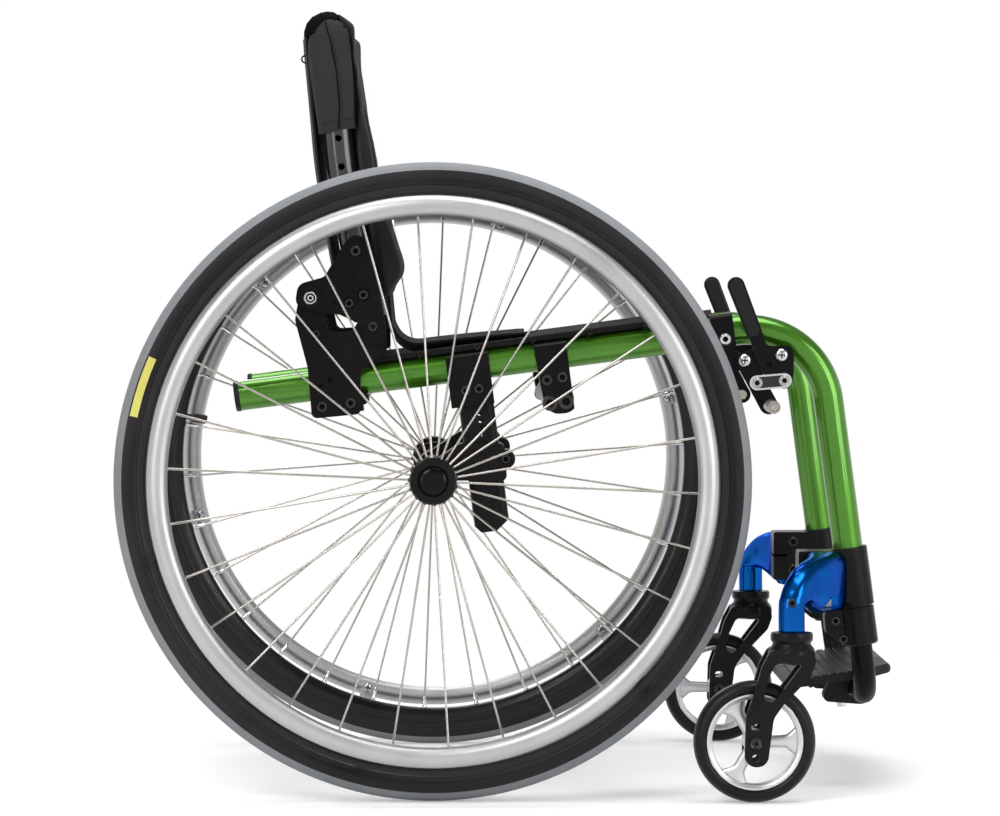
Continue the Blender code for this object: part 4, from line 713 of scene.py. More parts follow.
def stem_box(low, high, grow):
    base_z = 0.3664
    u, v, radius = 0.01675 + grow, 0.0105 + grow, 0.007 + grow
    outline = rounded([(-u, -v, radius), (u, -v, radius), (u, v, radius), (-u, v, radius)])
    spot = along_axes(stem_point(base_z, RAIL_Y), RAIL_ALONG, ACROSS, RAIL_UP)
    return prism(outline, (low - base_z) / cos(RAIL_SLOPE), (high - base_z) / cos(RAIL_SLOPE), spot)


def add_axle_support():
    add_pair("stem_bracket", cradle(0.033, 0.041, 0.038, 0.0108, SEAT + 0.005), BLACK, "stem_clamp",
             bevel=0.0006)
    bolts = side_screws(tenths(309, 3812, 434, 3828), RAIL_Y + CLAMP_HALF, 0.0046, 0.0022)
    add_pair("stem_bracket_bolts", bolts, OXIDE)

    top = rail_point(0.033, -SEAT - 0.005 - GAP).z
    x = stem_point(0.247).x
    near, far = RAIL_Y - 0.02, RAIL_Y + 0.02
    low = side_plate([(x - 0.004, 0.24), (x + 0.03, 0.24), (x + 0.03, 0.273)], near, far)
    heel = side_plate([(x - 0.03, 0.24), (x - 0.004, 0.24), (x - 0.03, 0.262)], near, far)
    pins = [cross_pin(flat(stem_point(z) + RAIL_ALONG * 0.002 + RAIL_UP * up), 0.0022, near, far, 20)
            for z in (0.3425, 0.355, 0.2815, 0.269) for up in (-0.0035, 0.0035)]
    stem = cut(stem_box(0.247, top, 0), low, heel, stem_box(0.263, top + 0.02, -0.0025), joined(pins))
    add_pair("height_stem", stem, CASTING, "axle_stem", bevel=0.0006)

    z = HUB_Z - (HUB_Y - 0.15725) * tan(CAMBER)
    front = stem_point(0.31325).x + 0.02125
    corners = [(-0.006, z + 0.014, 0.004), (0.026, 0.331, 0.008), (front - 0.002, 0.331, 0.005),
               (front + 0.001, 0.2955, 0.005), (0.02, 0.2955, 0.008), (-0.006, z - 0.013, 0.004)]
    inner, outer = RAIL_Y - 0.0165, RAIL_Y + 0.0165
    bolt = (0.069, 0.316)
    holder = fused(side_plate(rounded(corners), inner, outer),
                   cross_pin(bolt, 0.009, inner + 0.001, outer - 0.001),
                   cross_pin((0, z), 0.016, 0.128, 0.1865, 48))
    bore = turned([(0.00665, -0.0788), (0.00665, 0)], wheel_place(1), 32)
    dish = cross_pin(bolt, 0.0058, outer - 0.003, outer + 0.01)
    add_pair("axle_holder", cut(holder, stem_box(0.2755, 0.351, GAP), bore, dish), CASTING, "axle_block",
             bevel=0.0007)
    add_pair("axle_holder_bolts", side_screws([bolt], outer - 0.0028, 0.0046, 0.0022), OXIDE)
    # Painted highlight: small zinc discs inside the stem's holes, put there only to make the holes glint.
    glints = side_screws(tenths(455, 3385, 510, 2998, 517, 2931), RAIL_Y + 0.009, 0.0016, 0.0012)
    add_pair("stem_hole_glints", glints, ZINC)
    tube = swept([(0, y, z) for y in (-0.1277, 0, 0.1277)], 0.0127, 48, 0.0107)
    add("axle_tube", tube, BLACK, ["camber_tube"], smooth=50)


def add_seat_supports():
    x, z = flat(rail_point(0.1185, -0.044))
    half = 0.0155
    top = rail_point(0.112, 0.0138)
    body = cradle(0.112, 0.031, 0.058, 0.0129, SEAT + 0.01)
    mask = side_plate(rounded([
        (top.x - half - 0.001, top.z - 0.001, 0), (x - half - 0.0005, z - half + 0.0015, 0.0139),
        (x + half + 0.0005, z - half + 0.0045, 0.0139), (top.x + half + 0.001, top.z + 0.003, 0)], 12),
        RAIL_Y - 0.03, RAIL_Y + 0.03)
    add_pair("rail_bracket", combined(body, mask, "INTERSECT"), BLACK, "seat_bracket", bevel=0.0006)
    face = RAIL_Y + CLAMP_HALF
    bolts = joined([side_screws(tenths(1079, 3911, 1226, 3938), face, 0.005, 0.0016),
                    side_screws(tenths(1108, 3690, 1262, 3708), face, 0.0072, 0.0014)])
    add_pair("rail_bracket_bolts", bolts, OXIDE)

    face = RAIL_Y - CLAMP_HALF - GAP
    flange_in = face - 0.004
    tube = turned([(0.0111, -flange_in - 0.001), (0.0111, flange_in + 0.001)], sideways(x, z))
    outline = shape(-130, 160, 30, -215, 20, 40, -195, -70, 60, -60, -130, 80, 80, -115, 80, 80, 180, 30,
                    at=(x, z))
    flanges = joined([side_plate(outline, side * flange_in, side * face) for side in SIDES])
    hollow = turned([(0.0093, -face - 0.01), (0.0093, face + 0.01)], sideways(x, z))
    add("cross_tube", cut(fused(tube, flanges), hollow), CAST_SILVER, ["seat_cross_bar"], bevel=0.0005)


# Casters

def caster_rim(place):
    ring = ring_solid(None, 96, 398, 0, 398, 62, 404, 74, 416, 78, 424, 86, 436, 90, 448, 90, 448, 70)
    boss = ring_solid(None, 40, 46, 142.5, 100, 142.5, 110, 134, 110, 60)
    blades = []
    for turn in angles(3, radians(-5)):
        rings = []
        for t in spaced(0, 1, 12):
            r = 0.0085 + (0.0412 - 0.0085) * t
            lean = 0.001 + 0.004 * t ** 2
            wide = 0.0052 + 0.0012 * t + 0.0085 * max(0, t - 0.7) / 0.3
            deep = 0.0046 - 0.0008 * t
            rings.append([Vector((r - 0.002 * abs(b) / wide, b + lean, c)) for b, c in
                          [(wide * cos(a), deep * sin(a)) for a in angles(20)]])
        blades.append(loft(rings))
        blades[-1].transform(Matrix.Rotation(turn, 4, "Z"))
    solid = fused(ring, joined(blades), boss)
    solid.transform(place)
    return solid


def fork():
    at = (CASTER_X, 0)
    top = 0.159 - 2 * GAP
    profile = tenths(150, 1295, 200, 1310, 218, 1345, 223, 1380, 218, 1415, 203, 1445, 184, 1466,
                     177, 1482, 181, 1498, 193, 1510, 197, 1526, 197, 1562)
    profile += [(0.019, top), (0.006, top), (0.006, 0.195)]
    crown = turned(profile, Matrix.Translation((CASTER_X, CASTER_Y, 0)), 56)
    leg = shape(-205, 1440, 80, -290, 1287, 150, -345, 1090, 200, -440, 809, 200, -452, 350, 105,
                -238, 350, 105, -180, 800, 150, -85, 935, 150, 165, 1195, 120, 210, 1320, 80,
                195, 1440, 50, steps=8, at=at)
    window = shape(-275, 980, 40, -240, 1150, 100, -165, 1310, 70, 100, 1320, 30, -150, 990, 60,
                   -205, 935, 30, steps=8, at=at)
    slot = shape(-42, 690, 28, 42, 690, 28, 42, 752, 28, -42, 752, 28, at=(CASTER_AXLE_X, 0))
    holes = [window, circle((CASTER_AXLE_X, CASTER_AXLE_Z), 0.0046),
             circle((CASTER_AXLE_X, 0.0432), 0.0036, 28), slot]
    inner, outer = 0.0148, 0.02
    legs = [side_plate(leg, CASTER_Y + face * inner, CASTER_Y + face * outer, holes) for face in SIDES]
    bridge = shape(-240, 1325, 20, 195, 1325, 20, 185, 1425, 50, -195, 1425, 50, at=at)
    yoke = side_plate(bridge, CASTER_Y - outer + 0.0005, CASTER_Y + outer - 0.0005)
    return fused(crown, yoke, joined(legs))


def housing():
    x, y = CASTER_X, CASTER_Y
    arm_y = RAIL_Y + 0.0182
    up, turn = (0, 0, 1), (-0.83, -0.55, 0)

    # Each station has its place, the way ahead and across, half its width and height, and a power
    # that squares its corners.
    stations = [
        (x, y, 0.159, up, turn, 0.012, 0.012, 2), (x, y, 0.1598, up, turn, 0.0122, 0.0122, 2),
        (x, y, 0.183, up, turn, 0.0122, 0.0122, 2),
        (x + 0.002, y - 0.003, 0.1885, (0.22, -0.33, 0.9), turn, 0.0124, 0.0126, 2.2),
        (x + 0.0085, y - 0.013, 0.1965, (0.45, -0.68, 0.58), turn, 0.013, 0.0165, 2.5),
        (x + 0.018, y - 0.029, 0.2, (0.54, -0.82, 0.18), turn, 0.014, 0.0215, 2.8),
        (x + 0.029, y - 0.05, 0.1992, (0.5, -0.86, 0), (-0.86, -0.5, 0), 0.0165, 0.0266, 3.4),
        (x + 0.037, arm_y + 0.0085, 0.1996, (0.25, -0.97, 0), (-0.97, -0.25, 0), 0.021, 0.0278, 4.6),
        (x + 0.0384, arm_y + 0.0012, 0.1996, (0.06, -1, 0), (-1, -0.06, 0), 0.0214, 0.0282, 5.5),
        (x + 0.0385, arm_y + 2 * GAP, 0.1996, (0, -1, 0), (-1, 0, 0), 0.0209, 0.0277, 5.5)]

    def section(x, y, z, along, across, half_width, half_height, power):
        forward = Vector(along).normalized()
        wide = Vector(across).normalized()
        high = wide.cross(forward)
        points = []
        for k in range(32):
            a = 2 * pi * (k + 0.5) / 32
            grow = (abs(cos(a)) ** power + abs(sin(a)) ** power) ** (-1 / power)
            points.append(Vector((x, y, z)) + wide * (half_width * grow * cos(a))
                          + high * (half_height * grow * sin(a)))
        return points
    rings = []
    for i, (a, b) in enumerate(zip(stations, stations[1:])):
        near = stations[max(i - 1, 0)], a, b, stations[min(i + 2, len(stations) - 1)]
        steps = 1 if i in (0, 7, 8) else 5
        for t in [k / steps for k in range(steps)]:
            spot = [0.5 * (2 * p1 + (p2 - p0) * t + (2 * p0 - 5 * p1 + 4 * p2 - p3) * t * t
                           + (3 * p1 - p0 - 3 * p2 + p3) * t ** 3)
                    for p0, p1, p2, p3 in zip(*[station[:3] for station in near])]
            ways = [Vector(a[j]).normalized().lerp(Vector(b[j]).normalized(), t) for j in (3, 4)]
            rings.append(section(*spot, *ways, *[a[j] + (b[j] - a[j]) * t for j in (5, 6, 7)]))
    rings.append(section(*stations[-1]))
    bore = turned([(0.0063, 0.149), (0.0063, 0.1953)], Matrix.Translation((x, y, 0)), 32)
    pocket = cross_pin((x - 0.0005, 0.1865), 0.0042, y + 0.0095, y + 0.03, 28)
    window = shape(290, 1755, 10, 530, 1755, 20, 530, 1890, 30, 420, 1885, 40, steps=5, at=(x, 0))
    return cut(loft(rings), bore, pocket, side_plate(window, RAIL_Y + 0.0213, RAIL_Y + 0.09))


def add_sleeves():
    centre = down_point(SLEEVE_Z, RAIL_Y)
    half = SLEEVE_HALF / cos(LEAN)
    place = down_place(centre)
    sleeve = turned([(0.0174, -half), (0.0182, -half + 0.0008), (0.0182, half - 0.0008), (0.0174, half)],
                    place, 56)
    back, low = CASTER_X + 0.014, RAIL_Y - 0.0172
    outline = rounded([(back, 0.1792, 0.002), (centre.x + 0.004, 0.1792, 0), (centre.x - 0.002, 0.228, 0),
                       (back, 0.228, 0.002)], 4)
    slit = side_plate([(back - 0.01, 0.2028), (back + 0.014, 0.2028), (back + 0.014, 0.2052),
                       (back - 0.01, 0.2052)], RAIL_Y - 0.03, RAIL_Y + 0.012)
    bore = turned([(SEAT + 0.0002, -2 * half), (SEAT + 0.0002, 2 * half)], place, 48)
    block = side_plate(outline, low, RAIL_Y + 0.0182)
    add_pair("tube_sleeve", cut(fused(sleeve, block), slit, bore), CASTING, "caster_sleeve", bevel=0.0005)
    screws = [screw(facing(-ACROSS, (back + 0.02, low, z)), 0.005, 0.002) for z in (0.218, 0.19)]
    add_pair("tube_sleeve_screws", joined(screws), OXIDE)


def add_casters():
    add_sleeves()
    add_pair("blue_arm", housing(), BLUE, "caster_housing", smooth=50)
    grub = screw(sideways(CASTER_X - 0.0005, 0.1865, CASTER_Y + 0.01), 0.004, 0.002)
    add_pair("arm_screw", grub, OXIDE)
    lens = shape(335, 1762, 10, 445, 1762, 10, 445, 1872, 20, 420, 1870, 20, steps=4, at=(CASTER_X, 0))
    add_pair("arm_insert", side_plate(lens, RAIL_Y + 0.0209, RAIL_Y + 0.0255), CAST_SILVER, bevel=0.0006)
    add_pair("fork", fork(), CASTING, "caster_fork", "fork_{}", bevel=0.0016)
    for side, word in SIDES.items():
        spot = (CASTER_AXLE_X, side * CASTER_Y, CASTER_AXLE_Z)
        place = facing((0, side, 0), spot)
        tyre = ring_solid(place, 96, 570, 0, 568, 28, 561, 56, 549, 82, 531, 104, 508, 118, 490, 120,
                          472, 114, 455, 101, 451, 96)
        add(f"small_tyre_{word}", tyre, CASTER_RUBBER, [f"caster_tyre_{word}"], f"caster_{word}", smooth=60)
        add(f"small_rim_{word}", caster_rim(place), CAST_SILVER, [f"caster_rim_{word}"], f"caster_{word}",
            smooth=40)
        bolt = mirrored(tenths(34, 220, 52, 229, 62, 214, 62, 203, 40, 203))
        add(f"small_axle_{word}", turned(bolt, place, 32), OXIDE, [f"caster_axle_{word}"], f"fork_{word}")
        for face, end in ((-1, "in"), (1, "out")):
            outside = facing((0, side * face, 0), spot) @ Matrix.Translation((0, 0, 0.0222))
            add(f"small_axle_cap_{word}_{end}", screw(outside, 0.0036, 0.0008), OXIDE, body=f"fork_{word}")


# Footrest

def add_footrest():
    centre = down_point(0.152, RAIL_Y)
    place = down_place(centre)
    high, low = 0.022 / cos(LEAN), -0.014 / cos(LEAN)
    lip = (down_point(SLEEVE_Z, RAIL_Y) - centre).length - SLEEVE_HALF / cos(LEAN) - 0.0002
    collar = turned([(0.016, low), (0.0174, low + 0.0016), (0.0174, high - 0.0006), (0.0168, high),
                     (0.016, high), (0.016, lip)], place, 56)
    x = down_point(0.156).x
    ear = side_plate(shape(-335, 1710, 60, -315, 1500, 60, -180, 1385, 80, -20, 1400, 0, -20, 1720, 0,
                           at=(x, 0)), RAIL_Y - 0.01, RAIL_Y + 0.01)
    slit = side_plate([(x - 0.05, 0.1536), (x - 0.013, 0.1536), (x - 0.013, 0.1552), (x - 0.05, 0.1552)],
                      RAIL_Y + 0.0085, RAIL_Y + 0.03)
    wide = turned([(SEAT, -GAP), (SEAT, 0.05)], place, 48)
    narrow = turned([(0.0113, -0.05), (0.0113, 0.01)], place, 48)
    add_pair("tube_collar", cut(fused(collar, ear), slit, wide, narrow), CASTING, "footrest_collar",
             bevel=0.0007)
    bolts = side_screws(tenths(3836, 1612, 3912, 1436), RAIL_Y + 0.01, 0.0044, 0.0022)
    add_pair("tube_collar_bolts", bolts, OXIDE)

    base = down_point(0.089)
    drop = (down_point(0.262) - base).length
    outline = rounded([(-RAIL_Y, drop, 0), (-RAIL_Y, 0, 0.034), (RAIL_Y, 0, 0.034), (RAIL_Y, drop, 0)], 20)
    path = [base + ACROSS * y + DOWN_ALONG * h for y, h in outline]
    add("footrest_tube", swept(path, 0.011, 40, 0.0094), BLACK, ["footrest_loop"], "footrest", smooth=45)
    add_footplate(base)


def add_footplate(base):
    rise, front, thick = 0.0135, 0.031, 0.009
    back, top, half = front - 0.104, rise + thick, 0.12
    clamp_y, clamp_half, outer, nose = 0.065, 0.01, 0.016, 0.0045
    tilt = Matrix.Translation(base) @ Matrix.Rotation(radians(-8.4), 4, "Y")

    def spot(u, v, w):
        return Vector((u, w, v))
    section = [(back, rise + 0.001), (back, top - 0.0012), (back + 0.0012, top)]
    for k in range(10):
        start = back + 0.008 + k * 0.0082
        section += [(start, top), (start + 0.0007, top - 0.0014), (start + 0.0023, top - 0.0014),
                    (start + 0.003, top)]
    section += arc((front - nose, rise + nose), nose, pi / 2, -pi / 2, 12) + [(back + 0.0012, rise)]
    right = [(back - 0.01, -half + 0.004, 0), (back, -half + 0.004, 0),
             (front - 0.022, -half + 0.001, 0.016), (front + 0.0005, -half + 0.022, 0.016)]
    trim = rounded(right + [(u, -v, r) for u, v, r in reversed(right)], 8)
    trim = prism(trim, rise - 0.01, rise + 0.03, lambda u, v, w: Vector((u, v, w)))
    plate = combined(prism(section, -half, half, spot), trim, "INTERSECT")
    low, high = rise - 0.0022, rise + 0.001
    ribs = joined([prism([(u + shift, v) for u, v in [(back + 0.004, low), (back + 0.0072, low),
                                                      (back + 0.0072, high), (back + 0.004, high)]],
                         -half + 0.008, half - 0.008, spot) for shift in (0, 0.018, 0.036)])
    outline = belt([(0, 0, outer), (-0.03, -0.0035, 0.006), (-0.02, rise + 0.003, 0.003),
                    (outer - 0.004, rise + 0.003, 0.003)])
    clamps = joined([prism(outline, face * clamp_y - clamp_half, face * clamp_y + clamp_half, spot)
                     for face in SIDES])
    solid = cut(fused(plate, ribs, clamps), prism(circle((0, 0), 0.0113, 48), -half, half, spot))
    solid.transform(tilt)
    add("foot_board", solid, PLASTIC, ["footplate"], "footplate", bevel=0.0004)
    bolts = joined([screw(tilt @ facing((-0.05, 0, -1), (-0.0185, face * clamp_y, -0.012)), 0.0048, 0.0046)
                    for face in SIDES])
    add("foot_board_bolts", bolts, ZINC, body="footplate")


# Wheel locks

def add_wheel_locks():
    base_in = RAIL_Y + 0.0205
    base_out = base_in + 0.003
    lever_in = base_out + GAP
    lever_out = lever_in + 0.004
    link_in = lever_out + GAP
    link_out = link_in + 0.0025
    shoe_pivot, handle_pivot = (0.295, 0.41), (0.33, 0.415)
    link_rear, link_front, shoe = (0.3066, 0.3887), (0.3325, 0.3909), (0.318, 0.3675)
    outline = shape(-175, -195, 80, 205, -195, 40, 205, 180, 80, -175, 180, 120)
    spot = along_axes(rail_point(0.275, y=RAIL_Y), ACROSS, RAIL_UP, RAIL_ALONG)
    clamp = prism(outline, -0.01075, 0.01075, spot, [circle((0, 0), SEAT, 48)])
    plate = side_plate(shape(2655, 4330, 40, 2655, 4080, 40, 2900, 4000, 80, 3330, 4030, 80,
                             3420, 4100, 60, 3400, 4240, 60, 3100, 4230, 50, 3000, 4190, 40,
                             2862, 4160, 30, 2862, 4330, 30), base_in - 0.0005, base_out)
    pins = joined([cross_pin(pivot, 0.0028, base_in + 0.001, lever_out + 0.0004)
                   for pivot in (shoe_pivot, handle_pivot)])
    add_pair("lock_mount", fused(clamp, plate, pins), BLACK, "lock_base", bevel=0.0005)
    heads = joined([side_screws([shoe_pivot, handle_pivot], lever_out + GAP, 0.0058, 0.0024, "cross"),
                    side_screws([(0.277, 0.43)], base_out, 0.005, 0.0014, "hex", 0.0058)])
    add_pair("lock_mount_screws", heads, ZINC)

    tip = Vector((0.2868, 0.4808))
    lean = (Vector((0.308, 0.425)) - tip).normalized()
    start = atan2(lean.x, -lean.y)
    outline = arc(tip, 0.0072, start, start + pi, 20)
    outline += tenths(2978, 4350, 3030, 4215, 3040, 4190, 3033, 4150, 3148, 3933, 3190, 3897)
    outline += arc(link_front, 0.0078, radians(200), radians(355), 16)
    outline += tenths(3414, 3960, 3418, 4130, 3410, 4190, 3394, 4226, 3367, 4243, 3300, 4228, 3223, 4229,
                      3170, 4245, 3142, 4277, 3101, 4412)
    middle = (lever_in + lever_out) / 2 + 0.0001
    spring_hole = circle((0.318, 0.4062), 0.0028, 24)
    handle = side_plate(outline, middle, lever_out, [circle(handle_pivot, 0.0031), spring_hole])
    pin = cross_pin(link_front, 0.0028, middle + 0.0005, link_out + 0.0004)
    add_pair("lever", fused(handle, pin), BLACK, "lock_handle", "handle_{}", bevel=0.0006)
    aside = Vector((-lean.y, lean.x))
    low, high = tip + lean * 0.0485, tip + lean * 0.053
    outline = arc(tip, 0.0082, start, start + pi, 24)
    outline += [tuple(high - aside * 0.0072), tuple(high + aside * 0.003), tuple(low + aside * 0.0078)]
    grip = side_plate(outline, lever_in - 0.0012, lever_out + 0.0018)
    bmesh.ops.bevel(grip, geom=[e for e in grip.edges if e.calc_face_angle(0) > 1.2], offset=0.002,
                    segments=5, affect="EDGES")
    add_pair("lever_grip", grip, GRIP, body="handle_{}", smooth=60)
    add_pair("lever_screw", side_screws([link_front], link_out + GAP, 0.0046, 0.0014), STEEL,
             body="handle_{}")

    outline = belt([(*link_rear, 0.007), (*link_front, 0.007)], 40)
    link = side_plate(outline, link_in, link_out, [circle(link_front, 0.0031), circle(link_rear, 0.0038)])
    add_pair("lock_bar", link, ZINC, "lock_link", "link_{}", bevel=0.0006)
    outline = belt([(*link_rear, 0.0053), (*link_front, 0.0053)])
    inlay = side_plate(outline, link_out - 0.0004, link_out + 0.0001,
                       [circle(link_front, 0.0051), circle(link_rear, 0.0051)])
    add_pair("lock_bar_face", inlay, OXIDE, body="link_{}")

    outline = belt([(*shoe_pivot, 0.0085), (*shoe, 0.0088)], 40)
    inner = middle - 0.0004
    arm = fused(side_plate(outline, lever_in, inner, [circle(shoe_pivot, 0.0031)]),
                cross_pin(shoe, 0.0086, inner - 0.0005, lever_out, 40),
                cross_pin(link_rear, 0.0045, inner - 0.0005, lever_out),
                cross_pin(link_rear, 0.0028, lever_in + 0.001, link_out + 0.0004))
    add_pair("brake_arm", arm, BLACK, "lock_shoe_arm", "shoe_arm_{}", bevel=0.0006)
    roller = turned([(0.0046, lever_in - 0.0022), (0.0052, lever_in - 0.0018), (0.0052, lever_in - 0.0002),
                     (0.0042, lever_in - 0.0002), (0.0042, lever_out + 0.004), (0.006, lever_out + 0.004)]
                    + tenths(60, 2340, 55, 2350, 46, 2350, 40, 2340, 34, 2340, 30, 2348, 14, 2350,
                             10, 2340), sideways(*shoe))
    ribs = joined([cross_pin((shoe[0] + 0.0058 * cos(a), shoe[1] + 0.0058 * sin(a)), 0.00045,
                             lever_out + 0.0045, 0.2338, 6) for a in angles(30)])
    add_pair("brake_roller", joined([roller, ribs]), STEEL, body="shoe_arm_{}")
    add_pair("brake_arm_screw", side_screws([link_rear], link_out + GAP, 0.0046, 0.0014), STEEL,
             body="shoe_arm_{}")


# Back

def add_back_brackets():
    thick, over = 0.0046, 0.01
    low_in = RAIL_Y + TUBE + GAP
    low_out = low_in + thick
    high_in = low_out + GAP
    high_out = high_in + thick
    pivot, bar_at = (-0.057, 0.442), (-0.116, 0.469)
    plate = side_plate(shape(-1285, 4627, 0, -1310, 4480, 120, -1190, 4030, 120, -1150, 3545, 55,
                             -685, 3590, 55, -690, 4020, 120, -440, 4170, 40, -445, 4370, 50,
                             -450, 4530, 100, -660, 4545, 80, -770, 4375, 40, -985, 4360, 60,
                             -1030, 4560, 40, -1080, 4627, 0, steps=8), low_in, low_out)
    dishes = joined([cross_pin((-0.104, 0.444), 0.0125, low_out - 0.0012, low_out + over, 48),
                     cross_pin((-0.0885, 0.417), 0.015, low_out - 0.0012, low_out + over, 48)])
    holes = joined([cross_pin((-0.0978, 0.3915), 0.0026, low_out - 0.004, low_out + over, 24),
                    cross_pin((-0.1062, 0.3858), 0.0017, low_out - 0.004, low_out + over, 20)])
    clamp = cradle(-0.0915, 0.044, 0.029, 0.004, SEAT + 0.005)
    lower = fused(cut(fused(clamp, plate), dishes, holes),
                  cross_pin((-0.0668, 0.3738), 0.006, RAIL_Y + 0.004, low_out - 0.001),
                  cross_pin(pivot, 0.004, low_in + 0.001, high_out + 0.0008))
    add_pair("fixed_plate", lower, BLACK, "back_lower_plate", bevel=0.0006)
    bolts = joined([side_screws(tenths(-1052, 3660, -782, 3695), low_out, 0.005, 0.0022),
                    side_screws(tenths(-1105, 4352), low_out - 0.0012, 0.0032, 0.0014)])
    add_pair("fixed_plate_bolts", bolts, OXIDE)
    add_pair("pivot_bolt", side_screws([pivot], high_out + GAP, 0.0046, 0.0022), OXIDE)

    away = (Vector(bar_at) - Vector(pivot)).normalized()
    far = Vector(bar_at) + away * 0.0053
    start = atan2(away.y, away.x)
    slot = (arc(far, 0.0063, start - pi / 2, start + pi / 2, 14)
            + arc(bar_at, 0.0063, start + pi / 2, start + 3 * pi / 2, 14))
    top = cane_point(0.5135)
    corners = [(top.x - 0.0115, top.z + 0.006, 0.011), (top.x - 0.002, top.z + 0.0175, 0.011),
               (top.x + 0.0135, top.z + 0.01, 0.011)]
    corners += tenths(-455, 4480, 200, -445, 4250, 60, -620, 4250, 90, -690, 4440, 40, -880, 4530, 40,
                      -1110, 4565, 80, -1310, 4610, 90, -1280, 4820, 100, -1030, 4890, 80, columns=3)
    plate = side_plate(rounded(corners, 8), high_in, high_out, [slot, circle(pivot, 0.0043)])
    ring_cut = turned([(0.0078, high_out - 0.0006), (0.0088, high_out - 0.0006), (0.0088, high_out + over),
                       (0.0078, high_out + over)], sideways(-0.081, 0.468), closed=True)
    dimple = joined([side_plate(shape(-800, 4985, 30, -705, 4870, 30, -820, 4855, 20, steps=5),
                                high_out - 0.0016, high_out + over),
                     cross_pin((-0.0935, 0.4655), 0.0018, high_out - 0.003, high_out + over, 20)])
    spots = [flat(cane_point(z)) for z in (0.472, 0.5135)]
    bosses = joined([cross_pin(spot, 0.008, low_in, high_in + 0.001) for spot in spots])
    bolts = joined([cross_pin(spot, 0.0029, RAIL_Y - TUBE - 0.002, low_in + 0.001, 24) for spot in spots])
    add_pair("folding_plate", cut(fused(plate, bosses, bolts), ring_cut, dimple), BLACK, "back_upper_plate",
             "back", bevel=0.0006)
    heads = joined([side_screws([spots[1]], high_out, 0.005, 0.0022),
                    side_screws([spots[0]], high_out, 0.0046, 0.0024, "hex", 0.0062),
                    side_screws([(-0.0795, 0.464)], high_out, 0.0044, 0.002, "hex", 0.0052)])
    add_pair("folding_plate_bolts", heads, OXIDE, body="back")

    end = RAIL_Y + TUBE + 2 * (GAP + thick) + GAP
    place = sideways(*bar_at)
    wall = [(0.006, end + 0.0014), (0.0055, end + 0.002), (0.0047, end + 0.002), (0.0046, end + 0.0003)]
    bar = turned([(r, -w) for r, w in reversed(wall)] + wall, place)
    add("release_rod", bar, ZINC, ["back_release_bar"], "release_bar")
    add_pair("release_rod_screws", side_screws([bar_at], end + 0.0005, 0.0032, 0.0016), ZINC,
             body="release_bar")
    # Painted shade: a dark disc just inside the rod's hollow end.
    floor = turned([(0.0045, end + 0.0002), (0.0045, end + 0.0005)], place, 32)
    add_pair("release_rod_end_shade", floor, RECESS_SHADE, body="release_bar")
    face = high_out + GAP
    ring = turned([(0.0062, face), (0.0112, face), (0.0116, face + 0.0005), (0.0112, face + 0.001),
                   (0.0062, face + 0.001)], place, 48, closed=True)
    add_pair("release_rod_washer", ring, BLACK, body="release_bar")


def add_canes():
    path = [cane_point(z, RAIL_Y) for z in spaced(0.448, 0.716, 24)]
    holes = [cross_pin(flat(cane_point(z)), 0.00325, RAIL_Y - 0.02, RAIL_Y + 0.02, 28)
             for z in (0.472, 0.5135, 0.54, 0.567, 0.5935, 0.6205)]
    add_pair("cane_tube", cut(swept(path, TUBE, 48, TUBE_BORE), joined(holes)), CANE, "back_cane", "back",
             smooth=45)


# Soft goods

PAD_FRONT = tenths(4640, 250, 4760, 300, 4880, 425, 4960, 430, 5150, 402, 5450, 362, 6000, 322, 6570, 270,
                   7000, 248, 7220, 260, 7380, 268)
PAD_REAR = tenths(4640, 185, 5000, 195, 6150, 190, 6500, 206, 7150, 190, 7380, 90)
PAD_HALF = 0.159
SEAM_Y = 0.112
SEAM_LEVELS = (0.535, 0.605, 0.675)
CLOSING = [(0.705, 1.0), (0.7125, 0.96), (0.72, 0.88), (0.725, 0.74), (0.73, 0.5), (0.7345, 0.16)]


def between(table, value):
    """A smooth curve through (value, result) pairs."""
    for (x0, y0), (x1, y1) in zip(table, table[1:]):
        if value <= x1:
            t = max(0, (value - x0) / (x1 - x0))
            return y0 + (y1 - y0) * t * t * (3 - 2 * t)
    return table[-1][1]


def cloth(grid, thickness, hem=0.0008, band=2):
    """A closed thin form on a grid of points, thicker along its hemmed edges."""
    rings = []
    rows, columns = len(grid), len(grid[0])
    for i, row in enumerate(grid):
        upper, lower = [], []
        for j, point in enumerate(row):
            along = grid[min(i + 1, rows - 1)][j] - grid[max(i - 1, 0)][j]
            across = row[min(j + 1, columns - 1)] - row[max(j - 1, 0)]
            normal = across.cross(along).normalized()
            edge = min(i, rows - 1 - i, j, columns - 1 - j)
            half = (thickness + (hem if edge <= band else 0)) / 2 * (0.45 if edge == 0 else 1)
            upper.append(point + normal * half)
            lower.append(point - normal * half)
        rings.append(upper + lower[::-1])
    return loft(rings)


def stitches(path, out, pitch=0.0044, length=0.003, radius=0.00038):
    """Short raised threads along a path; out is a direction or one for each point."""
    points = [Vector(p) for p in path]
    spans = [(b - a).length for a, b in zip(points, points[1:])]
    threads = []
    for k in range(int(sum(spans) / pitch)):
        ends = []
        for distance in (k * pitch, k * pitch + length):
            i = 0
            while i < len(spans) - 1 and distance > spans[i]:
                distance -= spans[i]
                i += 1
            normal = out[i] if isinstance(out, list) else Vector(out)
            spot = points[i].lerp(points[i + 1], min(1, distance / spans[i]))
            ends.append(spot + normal.normalized() * 0.00012)
        middle = (ends[0] + ends[1]) / 2
        threads.append(swept([ends[0], middle, ends[1]], [0.6 * radius, radius, 0.6 * radius], sides=5))
    return joined(threads)


